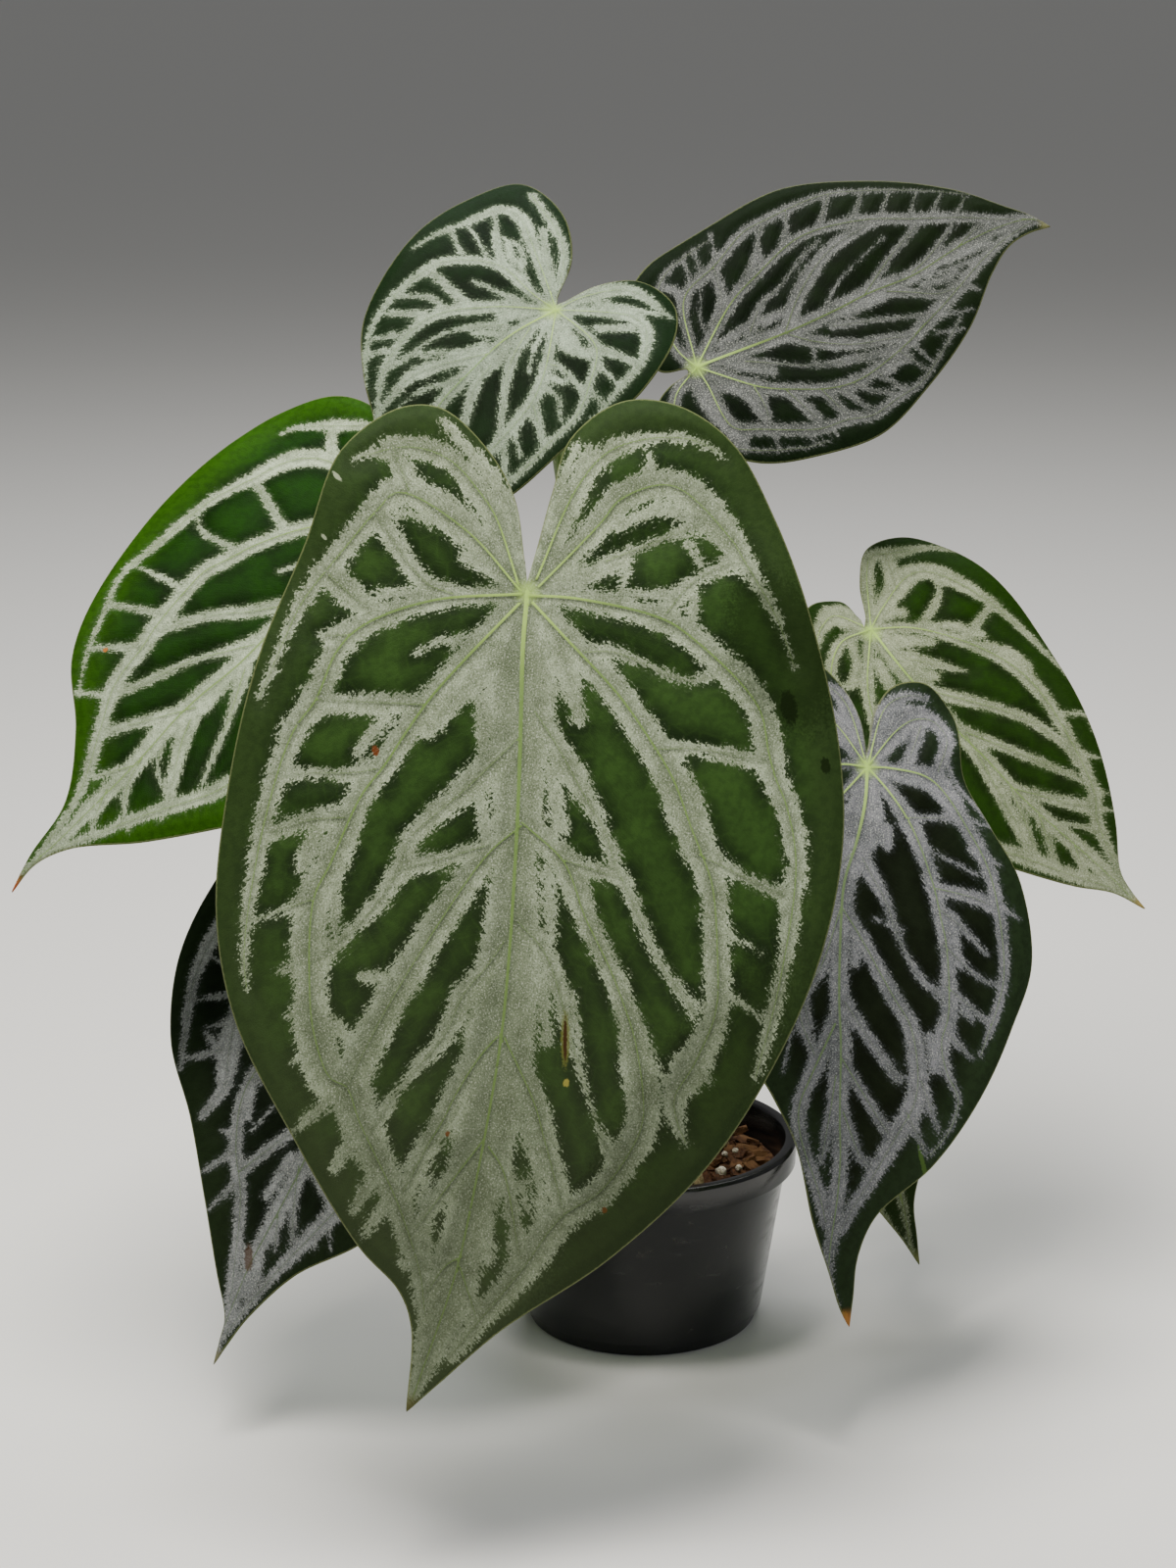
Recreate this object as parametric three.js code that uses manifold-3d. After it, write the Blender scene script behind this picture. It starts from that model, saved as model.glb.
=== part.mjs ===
// A potted silver blush anthurium: a plastic nursery pot filled with chunky bark mix, a short
// stem with roots and papery sheaths, and eight heart-shaped leaves, each on its own leaf stalk.
// Millimetres, +Z up. The origin is the middle of the pot's underside, and the plant faces -Y.
import * as THREE from "three";
import { mergeVertices } from "three/addons/utils/BufferGeometryUtils.js";
import Module from "manifold-3d";

const wasm = await Module();
wasm.setup();

// Pot
const POT_HEIGHT = 64;
const POT_TOP_RADIUS = 50;
const POT_BASE_RADIUS = 40;
const POT_WALL = 1.6;
const RIM_HEIGHT = 9;
const RIM_OVERHANG = 2.2;
const POT_SIDES = 36;
const DRAIN_HOLES = 6;
const DRAIN_RADIUS = 3.5;
const DRAIN_CIRCLE = 27;

// Potting mix
const MIX_LEVEL = 54;
const MIX_RINGS = 6;
const MIX_LUMP = 1.6;
const MIX_SEED = 41;
const BARK_CHIPS = 36;
const CHIP_SMALLEST = [7, 5, 3];
const CHIP_SPREAD = [9, 5, 3];
const CHIP_TILT = 0.45;
const CHIP_INNER_CIRCLE = 14;
const CHIP_EDGE_SPACE = 10;
const GOLDEN_ANGLE = 2.39996;

// Stem and what grows from it
const STEM_RADIUS = 17;
const STEM_FOOT = 36;
const STEM_TOP = 75;
const STEM_SCARS = 4;
const SCAR_STEP = 1.2;
const ROOT_RADIUS = 2.3;
const ROOT_DEPTH = 14;
const SHEATH_HEIGHTS = [30, 22, 34, 26, 38, 24, 29];
const SHEATH_BAND = 9;
const SHEATH_WALL = 0.9;
const SHEATH_DROP = 12;
const SHEATH_FLARE = 0.16;
const STALK_BASE_RADIUS = 3.3;
const STALK_RADIUS = 2.5;
const KNEE_RADIUS = 3.1;
const KNEE_LENGTH = 20;
const STALK_SIDES = 8;
const STALK_STEP = 17;

// Leaf blades
const BLADE_THICKNESS = 0.9;
const BLADE_RINGS = 5;
const SIDE_RAYS = 16;
const RIB_BEARINGS = [50, 98];
const RIB_CLEARANCE = 10;
const RIB_DEPTH = 1.3;
const RIB_WIDTH_SHARE = 0.008;
const VALLEY_SHARE = 0.06;

// What touches is kept this far apart
const GAP = 0.3;

// Each leaf's blade is drawn flat and then arched. Points are [along, across] from the place
// where the stalk meets the blade: along runs to the tip, across to the right as the upper face
// is seen with its tip down. face is the way the upper face looks.
const LEAVES = [
  {
    name: "front",
    junction: [-36, -113, 274],
    tip: [-70, -183, 52],
    face: [0.03, -0.95, 0.3],
    foot: [-1, -9],
    left: [
      [-8, -2], [-27, -8], [-41, -19], [-50, -33], [-48, -45], [-33, -59], [-5, -65], [30, -73],
      [69, -76], [104, -74], [133, -64], [164, -42], [191, -20], [202, -7], [212, -2],
    ],
    right: [
      [-13, 1], [-30, 3], [-47, 6], [-60, 19], [-61, 35], [-52, 53], [-32, 68], [-2, 83],
      [30, 95], [58, 100], [90, 98], [123, 89], [155, 74], [185, 50], [209, 23], [226, 8],
    ],
    arch: 9, swell: 0.18, roll: 0.24, wave: 1.6, waves: 7, tipCurl: 5, bow: 9,
  },
  {
    name: "top_left",
    junction: [-30, 5, 341],
    tip: [-81, -27, 280],
    face: [-0.11, -0.84, 0.53],
    foot: [-1, 2],
    left: [
      [-5, -2], [-21, -9], [-34, -24], [-36, -43], [-18, -52], [10, -53], [37, -47], [54, -33],
      [64, -21], [75, -11],
    ],
    right: [
      [-5, 1], [-17, 5], [-27, 14], [-27, 27], [-14, 37], [7, 41], [32, 36], [60, 30], [77, 18],
    ],
    arch: 7, swell: 0.16, roll: 0.2, wave: 1.2, waves: 6, tipCurl: -4, bow: 3,
  },
  {
    name: "top_right",
    junction: [18, 65, 315],
    tip: [145, 124, 358],
    face: [0.17, -0.79, 0.59],
    foot: [0, 13],
    left: [
      [-3, -1], [-11, -2], [-19, -8], [-16, -23], [-1, -37], [20, -46], [44, -49], [69, -40],
      [93, -27], [111, -12], [124, -4], [135, -1],
    ],
    right: [
      [-3, 1], [-12, 5], [-14, 19], [-9, 32], [5, 42], [31, 45], [61, 47], [93, 37], [116, 24],
      [131, 12], [140, 6],
    ],
    arch: 8, swell: 0.16, roll: 0.22, wave: 1.5, waves: 7, tipCurl: -3, bow: 3,
  },
  {
    name: "left",
    junction: [-84, -14, 272],
    tip: [-197, -76, 175],
    face: [-0.14, -0.75, 0.65],
    foot: [-11, 4],
    left: [
      [-7, -4], [-21, -13], [-32, -30], [-33, -46], [-27, -58], [-10, -66], [18, -63], [48, -60],
      [77, -49], [98, -36], [113, -18], [132, -4], [150, -2],
    ],
    right: [
      [-3, 3], [-8, 14], [-4, 31], [13, 44], [35, 52], [63, 56], [89, 53], [104, 43], [124, 26],
      [141, 7], [151, 1],
    ],
    arch: 10, swell: 0.18, roll: 0.24, wave: 1.8, waves: 7, tipCurl: -4, bow: -3,
  },
  {
    name: "low_left",
    junction: [-85, -38, 144],
    tip: [-135, -96, 24],
    face: [-0.18, -0.85, 0.49],
    foot: [-9, -6],
    left: [
      [-4, -2], [-16, -12], [-24, -27], [-26, -45], [-19, -58], [3, -62], [29, -62], [52, -53],
      [73, -35], [95, -21], [116, -9], [128, -2], [135, -1],
    ],
    right: [
      [-5, 0], [-16, 6], [-22, 18], [-17, 36], [1, 51], [25, 57], [50, 54], [73, 46], [93, 31],
      [108, 15], [125, 5], [134, 2],
    ],
    arch: 8, swell: 0.18, roll: 0.24, wave: 1.6, waves: 6, tipCurl: 4, bow: 4,
  },
  {
    name: "right",
    junction: [78, 52, 226],
    tip: [167, 8, 140],
    face: [0.2, -0.77, 0.6],
    foot: [8, 11],
    left: [
      [-6, 2], [-16, 3], [-21, -6], [-18, -18], [0, -36], [24, -44], [49, -45], [72, -40],
      [94, -26], [110, -14], [121, -4],
    ],
    right: [
      [-5, 3], [-16, 12], [-24, 25], [-19, 41], [-5, 48], [23, 49], [52, 40], [81, 27],
      [104, 13], [117, 3], [124, 1],
    ],
    arch: 8, swell: 0.18, roll: 0.22, wave: 1.4, waves: 6, tipCurl: 4, bow: 2,
  },
  {
    name: "low_right",
    junction: [70, -33, 201],
    tip: [61, -102, 40],
    face: [0.18, -0.91, 0.38],
    foot: [9, -4],
    left: [
      [-5, 0], [-15, -2], [-27, -9], [-34, -18], [-28, -31], [-12, -41], [13, -48], [41, -49],
      [68, -46], [92, -38], [107, -28], [121, -20], [144, -13], [159, -7], [170, -3],
    ],
    right: [
      [-6, 1], [-20, 4], [-28, 10], [-29, 20], [-20, 29], [-2, 31], [17, 40], [34, 50], [60, 55],
      [81, 48], [104, 37], [125, 23], [141, 7], [154, 2], [166, 1],
    ],
    arch: 10, swell: 0.2, roll: 0.26, wave: 1.8, waves: 8, tipCurl: 6, bow: 4,
  },
  {
    name: "low_back",
    junction: [78, 34, 103],
    tip: [92, -18, 23],
    face: [0.18, -0.81, 0.56],
    foot: [12, 4],
    left: [
      [-4, 0], [-14, -2], [-20, -10], [-12, -20], [8, -27], [32, -27], [59, -22], [77, -11],
      [88, -4],
    ],
    right: [
      [-4, 2], [-14, 10], [-19, 21], [-10, 29], [11, 27], [36, 21], [57, 10], [75, 2], [87, 1],
    ],
    arch: 5, swell: 0.16, roll: 0.2, wave: 1, waves: 5, tipCurl: 3, bow: 1,
  },
];

// Small helpers

function makeRandom(seed) {
  let state = seed;
  return () => {
    state = (state * 1664525 + 1013904223) % 4294967296;
    return state / 4294967296;
  };
}

const vector = (p) => new THREE.Vector3(p[0], p[1], p[2]);

function solidFrom(geometry) {
  const bare = new THREE.BufferGeometry();
  bare.setAttribute("position", geometry.getAttribute("position").clone());
  if (geometry.index) bare.setIndex(geometry.index.clone());
  const merged = mergeVertices(bare, 1e-4);
  return new wasm.Manifold(
    new wasm.Mesh({
      numProp: 3,
      vertProperties: new Float32Array(merged.attributes.position.array),
      triVerts: new Uint32Array(merged.index.array),
    }),
  );
}

function geometryFrom(solid) {
  const mesh = solid.getMesh();
  const geometry = new THREE.BufferGeometry();
  geometry.setAttribute("position", new THREE.BufferAttribute(new Float32Array(mesh.vertProperties), 3));
  geometry.setIndex(new THREE.BufferAttribute(new Uint32Array(mesh.triVerts), 1));
  geometry.computeVertexNormals();
  return geometry;
}

// The largest of a solid's separate bodies, so that cut-off scraps are dropped.
function mainBody(solid) {
  return solid.decompose().reduce((best, body) => (body.volume() > best.volume() ? body : best));
}

// A closed tube along a curve whose radius may change on the way: radiusAt gives it for 0 to 1.
function sweep(curve, radiusAt, sides, steps) {
  const frames = curve.computeFrenetFrames(steps, false);
  const positions = [];
  const triangles = [];
  for (let i = 0; i <= steps; i++) {
    const centre = curve.getPointAt(i / steps);
    const radius = radiusAt(i / steps);
    for (let j = 0; j < sides; j++) {
      const turn = (j / sides) * Math.PI * 2;
      const out = frames.normals[i].clone().multiplyScalar(Math.cos(turn) * radius);
      out.addScaledVector(frames.binormals[i], Math.sin(turn) * radius);
      positions.push(...centre.clone().add(out).toArray());
    }
  }
  for (let i = 0; i < steps; i++) {
    for (let j = 0; j < sides; j++) {
      const here = i * sides + j;
      const next = i * sides + ((j + 1) % sides);
      triangles.push(here, next, here + sides, next, next + sides, here + sides);
    }
  }
  for (let j = 1; j < sides - 1; j++) {
    const end = steps * sides;
    triangles.push(0, j + 1, j, end, end + j, end + j + 1);
  }
  const geometry = new THREE.BufferGeometry();
  geometry.setAttribute("position", new THREE.Float32BufferAttribute(positions, 3));
  geometry.setIndex(triangles);
  const solid = solidFrom(geometry);
  if (solid.volume() > 0) return solid;
  for (let i = 0; i < triangles.length; i += 3) {
    [triangles[i + 1], triangles[i + 2]] = [triangles[i + 2], triangles[i + 1]];
  }
  geometry.setIndex(triangles);
  return solidFrom(geometry);
}

// Leaf blades

function leafFrame(leaf) {
  const junction = vector(leaf.junction);
  const down = vector(leaf.tip).sub(junction);
  const length = down.length();
  down.normalize();
  const face = vector(leaf.face);
  face.addScaledVector(down, -face.dot(down)).normalize();
  const across = new THREE.Vector3().crossVectors(face, down);
  const halfWidth = Math.max(...leaf.right.map((p) => p[1]), ...leaf.left.map((p) => -p[1]));
  return { junction, down, face, across, length, halfWidth };
}

// How far the middle vein bends sideways on its way to the tip.
function midribShift(leaf, frame, along) {
  return leaf.bow * Math.sin(Math.PI * THREE.MathUtils.clamp(along / frame.length, 0, 1));
}

// How far the blade stands out of its flat plane, towards its upper face: an arch along it, a
// valley at the middle vein, sides that roll back, a waved margin and a curled tip. edgeShare is
// 0 at the stalk and 1 at the margin.
function bladeHeight(leaf, frame, along, across, edgeShare) {
  const t = along / frame.length;
  const u = (across - midribShift(leaf, frame, along)) / frame.halfWidth;
  const arch = leaf.arch * 4 * t * (1 - t);
  const valley = leaf.swell * frame.halfWidth * (Math.hypot(u, VALLEY_SHARE) - VALLEY_SHARE);
  const roll = leaf.roll * frame.halfWidth * u * u;
  const bearing = Math.atan2(across, along);
  const wave = leaf.wave * edgeShare ** 3 * Math.sin(leaf.waves * bearing + frame.length);
  const end = Math.max(0, (t - 0.8) / 0.2);
  return arch + valley - roll + wave + leaf.tipCurl * end * end;
}

function onBlade(leaf, frame, along, across, edgeShare, lift = 0) {
  return frame.junction
    .clone()
    .addScaledVector(frame.down, along)
    .addScaledVector(frame.across, across)
    .addScaledVector(frame.face, bladeHeight(leaf, frame, along, across, edgeShare) + lift);
}

// The flat outline down one side, from the notch behind the stalk to just before the tip.
function sideCurve(points, length) {
  return new THREE.CatmullRomCurve3(
    [...points, [length, 0]].map((p) => new THREE.Vector3(p[0], p[1], 0)),
    false,
    "centripetal",
  );
}

// The rays of one side, from the notch to the tip. A rib is three close rays, and offset says
// which of its sides one is on.
function sideRays(points, length) {
  const curve = sideCurve(points, length);
  const bearing = (p) => Math.abs(Math.atan2(p.y, p.x)) * THREE.MathUtils.RAD2DEG;
  const rays = [];
  for (let i = 0; i < SIDE_RAYS; i++) {
    const end = curve.getPointAt(i / SIDE_RAYS);
    if (RIB_BEARINGS.some((rib) => Math.abs(rib - bearing(end)) < RIB_CLEARANCE)) continue;
    rays.push({ end, bearing: bearing(end), offset: 0, rib: false });
  }
  for (const rib of RIB_BEARINGS) {
    const end = curve.getSpacedPoints(200).reduce((best, p) => {
      return Math.abs(bearing(p) - rib) < Math.abs(bearing(best) - rib) ? p : best;
    });
    for (const offset of [-1, 0, 1]) {
      rays.push({ end, bearing: rib - offset * 0.01, offset, rib: offset === 0 });
    }
  }
  return rays.sort((a, b) => b.bearing - a.bearing);
}

// The blade as a fan of rays from the stalk to the outline, alike on both faces, with ribs that
// stand out of the lower one.
function bladeSolid(leaf, frame) {
  const left = sideRays(leaf.left, frame.length);
  const right = sideRays(leaf.right, frame.length).reverse();
  const middle = { end: new THREE.Vector3(frame.length, 0, 0), offset: 0, rib: true };
  const rays = [...left, middle, ...right];
  const ribHalfWidth = RIB_WIDTH_SHARE * frame.length;
  const upper = [];
  const lower = [];
  const triangles = [];
  const addPoint = (along, across, share, ribDepth) => {
    const shifted = across + midribShift(leaf, frame, along) * (1 - share ** 4);
    upper.push(...onBlade(leaf, frame, along, shifted, share, BLADE_THICKNESS / 2).toArray());
    lower.push(...onBlade(leaf, frame, along, shifted, share, -BLADE_THICKNESS / 2 - ribDepth).toArray());
  };
  addPoint(0, 0, 0, 0);
  for (const ray of rays) {
    const reach = Math.sign(ray.end.y) * ray.offset * ribHalfWidth;
    const sideways = new THREE.Vector3(ray.end.y, -ray.end.x, 0).setLength(1).multiplyScalar(reach);
    for (let ring = 1; ring <= BLADE_RINGS; ring++) {
      const share = ring / BLADE_RINGS;
      const point = ray.end.clone().multiplyScalar(share).addScaledVector(sideways, 1 - 0.7 * share);
      addPoint(point.x, point.y, share, ray.rib ? RIB_DEPTH * (1 - share) : 0);
    }
  }
  const under = upper.length / 3;
  const at = (ray, ring) => (ring === 0 ? 0 : 1 + ray * BLADE_RINGS + ring - 1);
  const addFace = (a, b, c) => triangles.push(a, b, c, under + a, under + c, under + b);
  for (let ray = 0; ray < rays.length - 1; ray++) {
    addFace(0, at(ray, 1), at(ray + 1, 1));
    for (let ring = 1; ring < BLADE_RINGS; ring++) {
      addFace(at(ray, ring), at(ray, ring + 1), at(ray + 1, ring));
      addFace(at(ray + 1, ring), at(ray, ring + 1), at(ray + 1, ring + 1));
    }
  }
  const margin = [0];
  for (let ring = 1; ring <= BLADE_RINGS; ring++) margin.push(at(0, ring));
  for (let ray = 1; ray < rays.length; ray++) margin.push(at(ray, BLADE_RINGS));
  for (let ring = BLADE_RINGS - 1; ring >= 1; ring--) margin.push(at(rays.length - 1, ring));
  margin.forEach((a, i) => {
    const b = margin[(i + 1) % margin.length];
    triangles.push(a, under + a, b, b, under + a, under + b);
  });
  const geometry = new THREE.BufferGeometry();
  geometry.setAttribute("position", new THREE.Float32BufferAttribute([...upper, ...lower], 3));
  geometry.setIndex(triangles);
  return solidFrom(geometry);
}

// Leaf stalks

// Up from the crown, then forwards to meet the back of the blade squarely.
function stalkCurve(leaf, frame) {
  const foot = new THREE.Vector3(leaf.foot[0], leaf.foot[1], STEM_TOP + GAP);
  const middle = onBlade(leaf, frame, 0, 0, 0);
  const down = onBlade(leaf, frame, 3, 0, 0).sub(middle);
  const normal = frame.across.clone().cross(down).negate().normalize();
  const end = middle.addScaledVector(normal, -BLADE_THICKNESS / 2 - GAP - 0.2);
  const reach = foot.distanceTo(end);
  const rise = foot.clone().add(new THREE.Vector3(0, 0, reach * 0.45));
  const behind = end.clone().addScaledVector(normal, -reach * 0.3);
  return new THREE.CubicBezierCurve3(foot, rise, behind, end);
}

function stalkSolid(curve, extra = 0) {
  const length = curve.getLength();
  const radiusAt = (t) => {
    const sheath = (STALK_BASE_RADIUS - STALK_RADIUS) * Math.exp((-t * length) / 14);
    const fromEnd = (1 - t) * length;
    const swelling = Math.sin(Math.min(fromEnd / KNEE_LENGTH, 1) * Math.PI);
    const knee = (KNEE_RADIUS - STALK_RADIUS) * swelling;
    return STALK_RADIUS + sheath + knee + extra;
  };
  return sweep(curve, radiusAt, STALK_SIDES, Math.round(length / STALK_STEP) + 5);
}

// Pot, mix, stem

function potSolid() {
  const inner = POT_TOP_RADIUS - POT_WALL;
  const rimFoot = POT_HEIGHT - RIM_HEIGHT;
  const profile = [
    [0, 0],
    [POT_BASE_RADIUS - 1.5, 0],
    [POT_BASE_RADIUS, 1.5],
    [POT_TOP_RADIUS - 1.4, rimFoot],
    [POT_TOP_RADIUS + RIM_OVERHANG, rimFoot + 0.8],
    [POT_TOP_RADIUS + RIM_OVERHANG, POT_HEIGHT - 1],
    [POT_TOP_RADIUS + RIM_OVERHANG - 1, POT_HEIGHT],
    [inner, POT_HEIGHT],
    [POT_BASE_RADIUS - POT_WALL, POT_WALL + 1],
    [POT_BASE_RADIUS - POT_WALL - 1, POT_WALL],
    [0, POT_WALL],
  ];
  const lathe = new THREE.LatheGeometry(profile.map((p) => new THREE.Vector2(p[0], p[1])), POT_SIDES);
  lathe.rotateX(Math.PI / 2);
  let pot = solidFrom(lathe);
  for (let i = 0; i < DRAIN_HOLES; i++) {
    const turn = (i / DRAIN_HOLES) * Math.PI * 2;
    const hole = new THREE.CylinderGeometry(DRAIN_RADIUS, DRAIN_RADIUS, POT_WALL * 4, 10);
    hole.rotateX(Math.PI / 2);
    hole.translate(Math.cos(turn) * DRAIN_CIRCLE, Math.sin(turn) * DRAIN_CIRCLE, 0);
    pot = pot.subtract(solidFrom(hole));
  }
  return pot;
}

function potInnerRadius(z) {
  const slope = (POT_TOP_RADIUS - POT_BASE_RADIUS) / (POT_HEIGHT - POT_WALL - 1);
  return POT_BASE_RADIUS - POT_WALL + slope * (z - POT_WALL - 1);
}

// The mix: a tapered plug with a lumpy top, bark chips half sunk in it, and clear holes for
// the stem and its roots.
function mixSolid(plantClearance) {
  const random = makeRandom(MIX_SEED);
  const foot = POT_WALL + GAP;
  const rim = MIX_LEVEL - 3;
  const positions = [0, 0, foot];
  const triangles = [];
  const addRing = (radius, phase, heightAt) => {
    for (let side = 0; side < POT_SIDES; side++) {
      const turn = ((side + phase) / POT_SIDES) * Math.PI * 2;
      positions.push(radius * Math.cos(turn), radius * Math.sin(turn), heightAt());
    }
  };
  addRing(POT_BASE_RADIUS - POT_WALL - 1 - GAP, 0, () => foot);
  addRing(potInnerRadius(foot + 1) - GAP, 0, () => foot + 1);
  const edge = potInnerRadius(rim) - GAP;
  addRing(edge, 0, () => rim);
  for (let ring = MIX_RINGS - 1; ring >= 1; ring--) {
    const lump = () => MIX_LEVEL + (random() - 0.3) * 2 * MIX_LUMP;
    addRing((edge * ring) / MIX_RINGS, ((MIX_RINGS - ring) % 2) / 2, lump);
  }
  positions.push(0, 0, MIX_LEVEL);
  const last = positions.length / 3 - 1;
  const rings = (last - 1) / POT_SIDES;
  for (let side = 0; side < POT_SIDES; side++) {
    const next = (side + 1) % POT_SIDES;
    triangles.push(0, 1 + next, 1 + side);
    for (let ring = 0; ring < rings - 1; ring++) {
      const low = 1 + ring * POT_SIDES;
      const high = low + POT_SIDES;
      triangles.push(low + side, low + next, high + side, low + next, high + next, high + side);
    }
    const top = 1 + (rings - 1) * POT_SIDES;
    triangles.push(top + side, top + next, last);
  }
  const plug = new THREE.BufferGeometry();
  plug.setAttribute("position", new THREE.Float32BufferAttribute(positions, 3));
  plug.setIndex(triangles);
  let mix = solidFrom(plug);
  for (let i = 0; i < BARK_CHIPS; i++) {
    const size = CHIP_SMALLEST.map((least, k) => least + CHIP_SPREAD[k] * random());
    const chip = new THREE.BoxGeometry(...size);
    chip.rotateX((random() * 2 - 1) * CHIP_TILT);
    chip.rotateY((random() * 2 - 1) * CHIP_TILT);
    chip.rotateZ(random() * Math.PI);
    const spread = edge - CHIP_INNER_CIRCLE - CHIP_EDGE_SPACE;
    const radius = CHIP_INNER_CIRCLE + spread * Math.sqrt(random());
    const turn = i * GOLDEN_ANGLE;
    chip.translate(radius * Math.cos(turn), radius * Math.sin(turn), MIX_LEVEL + 0.8);
    mix = mix.add(solidFrom(chip));
  }
  return mainBody(mix.subtract(plantClearance));
}

// The short stem, ringed with old leaf scars, with thick roots that arch down into the mix.
const ROOTS = [
  { turn: 0.35, reach: 30, high: 64 },
  { turn: 1.7, reach: 26, high: 67 },
  { turn: 2.75, reach: 33, high: 63 },
  { turn: 4.1, reach: 28, high: 66 },
  { turn: 5.3, reach: 34, high: 65 },
];

function stemSolid(extra = 0) {
  const foot = [STEM_RADIUS * 0.62 + extra, STEM_FOOT - extra];
  const profile = [[0, foot[1]], foot];
  for (let i = 1; i <= STEM_SCARS; i++) {
    const z = STEM_FOOT + ((STEM_TOP - STEM_FOOT) * i) / (STEM_SCARS + 1);
    const radius = STEM_RADIUS * (0.7 + (0.26 * i) / STEM_SCARS) + extra;
    profile.push([radius - SCAR_STEP / 2, z - 2.4], [radius + SCAR_STEP / 2, z]);
  }
  profile.push([STEM_RADIUS + extra, STEM_TOP - 2], [STEM_RADIUS - 1 + extra, STEM_TOP], [0, STEM_TOP]);
  const lathe = new THREE.LatheGeometry(profile.map((p) => new THREE.Vector2(p[0], p[1])), 16);
  lathe.rotateX(Math.PI / 2);
  let stem = solidFrom(lathe);
  for (const root of ROOTS) {
    const out = new THREE.Vector3(Math.cos(root.turn), Math.sin(root.turn), 0);
    const point = (reach, z) => out.clone().multiplyScalar(reach).setZ(z);
    const curve = new THREE.CubicBezierCurve3(
      point(STEM_RADIUS - 6, root.high),
      point(STEM_RADIUS + 7, root.high + 6),
      point(root.reach, root.high),
      point(root.reach + 3, MIX_LEVEL - ROOT_DEPTH),
    );
    stem = stem.add(sweep(curve, (t) => ROOT_RADIUS * (1 - 0.35 * t) + extra, 6, 7));
  }
  return stem;
}

// Papery brown sheaths round the foot of the stalks: a thin collar with pointed flaps that lean
// outwards. Each flap has four steps: its notch, its tip and two shoulders.
function sheathSolid(stalkClearance) {
  const sides = SHEATH_HEIGHTS.length * 4;
  const inner = (STEM_RADIUS + GAP) / Math.cos(Math.PI / sides);
  const foot = STEM_TOP - SHEATH_DROP;
  const positions = [];
  const triangles = [];
  for (let side = 0; side < sides; side++) {
    const turn = (side / sides) * Math.PI * 2;
    const tall = SHEATH_HEIGHTS[Math.floor(side / 4)];
    const height = THREE.MathUtils.lerp(SHEATH_BAND, tall, [0, 0.55, 1, 0.55][side % 4]);
    const lean = SHEATH_FLARE * height;
    for (const [radius, z] of [
      [inner, foot],
      [inner + SHEATH_WALL, foot],
      [inner + SHEATH_WALL + lean, foot + height],
      [inner + lean, foot + height],
    ]) {
      positions.push(radius * Math.cos(turn), radius * Math.sin(turn), z);
    }
  }
  for (let side = 0; side < sides; side++) {
    const here = side * 4;
    const next = ((side + 1) % sides) * 4;
    for (let k = 0; k < 4; k++) {
      const up = (k + 1) % 4;
      triangles.push(here + k, next + k, next + up, here + k, next + up, here + up);
    }
  }
  const collar = new THREE.BufferGeometry();
  collar.setAttribute("position", new THREE.Float32BufferAttribute(positions, 3));
  collar.setIndex(triangles);
  return mainBody(solidFrom(collar).subtract(stalkClearance));
}

// Assembly

const MATERIALS = {
  pot: new THREE.MeshStandardMaterial({ color: 0x17181a, roughness: 0.5, metalness: 0 }),
  mix: new THREE.MeshStandardMaterial({ color: 0x4a3324, roughness: 0.95, metalness: 0 }),
  stem: new THREE.MeshStandardMaterial({ color: 0x6b6440, roughness: 0.8, metalness: 0 }),
  sheath: new THREE.MeshStandardMaterial({ color: 0x7d5b3a, roughness: 0.9, metalness: 0 }),
  stalk: new THREE.MeshStandardMaterial({ color: 0x6f8a4a, roughness: 0.55, metalness: 0 }),
  blade: new THREE.MeshStandardMaterial({ color: 0x46603a, roughness: 0.7, metalness: 0 }),
};

const plant = new THREE.Group();

function addNode(name, solid, material) {
  const mesh = new THREE.Mesh(geometryFrom(solid), material);
  mesh.name = name;
  plant.add(mesh);
}

let stalkClearance = null;
for (const leaf of LEAVES) {
  const frame = leafFrame(leaf);
  const curve = stalkCurve(leaf, frame);
  const clearance = stalkSolid(curve, GAP);
  stalkClearance = stalkClearance ? stalkClearance.add(clearance) : clearance;
  addNode(`stalk_${leaf.name}`, stalkSolid(curve), MATERIALS.stalk);
  addNode(`leaf_${leaf.name}`, bladeSolid(leaf, frame), MATERIALS.blade);
}
addNode("pot", potSolid(), MATERIALS.pot);
addNode("potting_mix", mixSolid(stemSolid(GAP)), MATERIALS.mix);
addNode("stem", stemSolid(), MATERIALS.stem);
addNode("sheaths", sheathSolid(stalkClearance.add(stemSolid(GAP))), MATERIALS.sheath);

export default plant;
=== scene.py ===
import math
import random

import bpy
import numpy as np
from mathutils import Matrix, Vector, kdtree
from mathutils.geometry import delaunay_2d_cdt


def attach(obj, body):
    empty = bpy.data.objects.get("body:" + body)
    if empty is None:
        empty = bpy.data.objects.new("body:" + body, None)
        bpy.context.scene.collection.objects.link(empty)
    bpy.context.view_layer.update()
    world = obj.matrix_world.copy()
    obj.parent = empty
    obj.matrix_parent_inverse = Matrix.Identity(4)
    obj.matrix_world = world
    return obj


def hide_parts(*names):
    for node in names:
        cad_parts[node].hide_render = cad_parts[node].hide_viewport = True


# The looks of a potted silver blush anthurium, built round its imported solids. Sizes in this file
# are millimetres unless a name says metres, and meshes are made in metres.
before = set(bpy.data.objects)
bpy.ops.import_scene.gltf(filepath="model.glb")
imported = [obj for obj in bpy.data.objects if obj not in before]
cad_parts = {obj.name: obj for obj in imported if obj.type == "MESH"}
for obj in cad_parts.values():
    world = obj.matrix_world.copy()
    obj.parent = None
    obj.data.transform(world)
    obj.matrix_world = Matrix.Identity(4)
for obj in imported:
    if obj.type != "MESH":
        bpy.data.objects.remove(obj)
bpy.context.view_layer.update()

MM = 0.001
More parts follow.
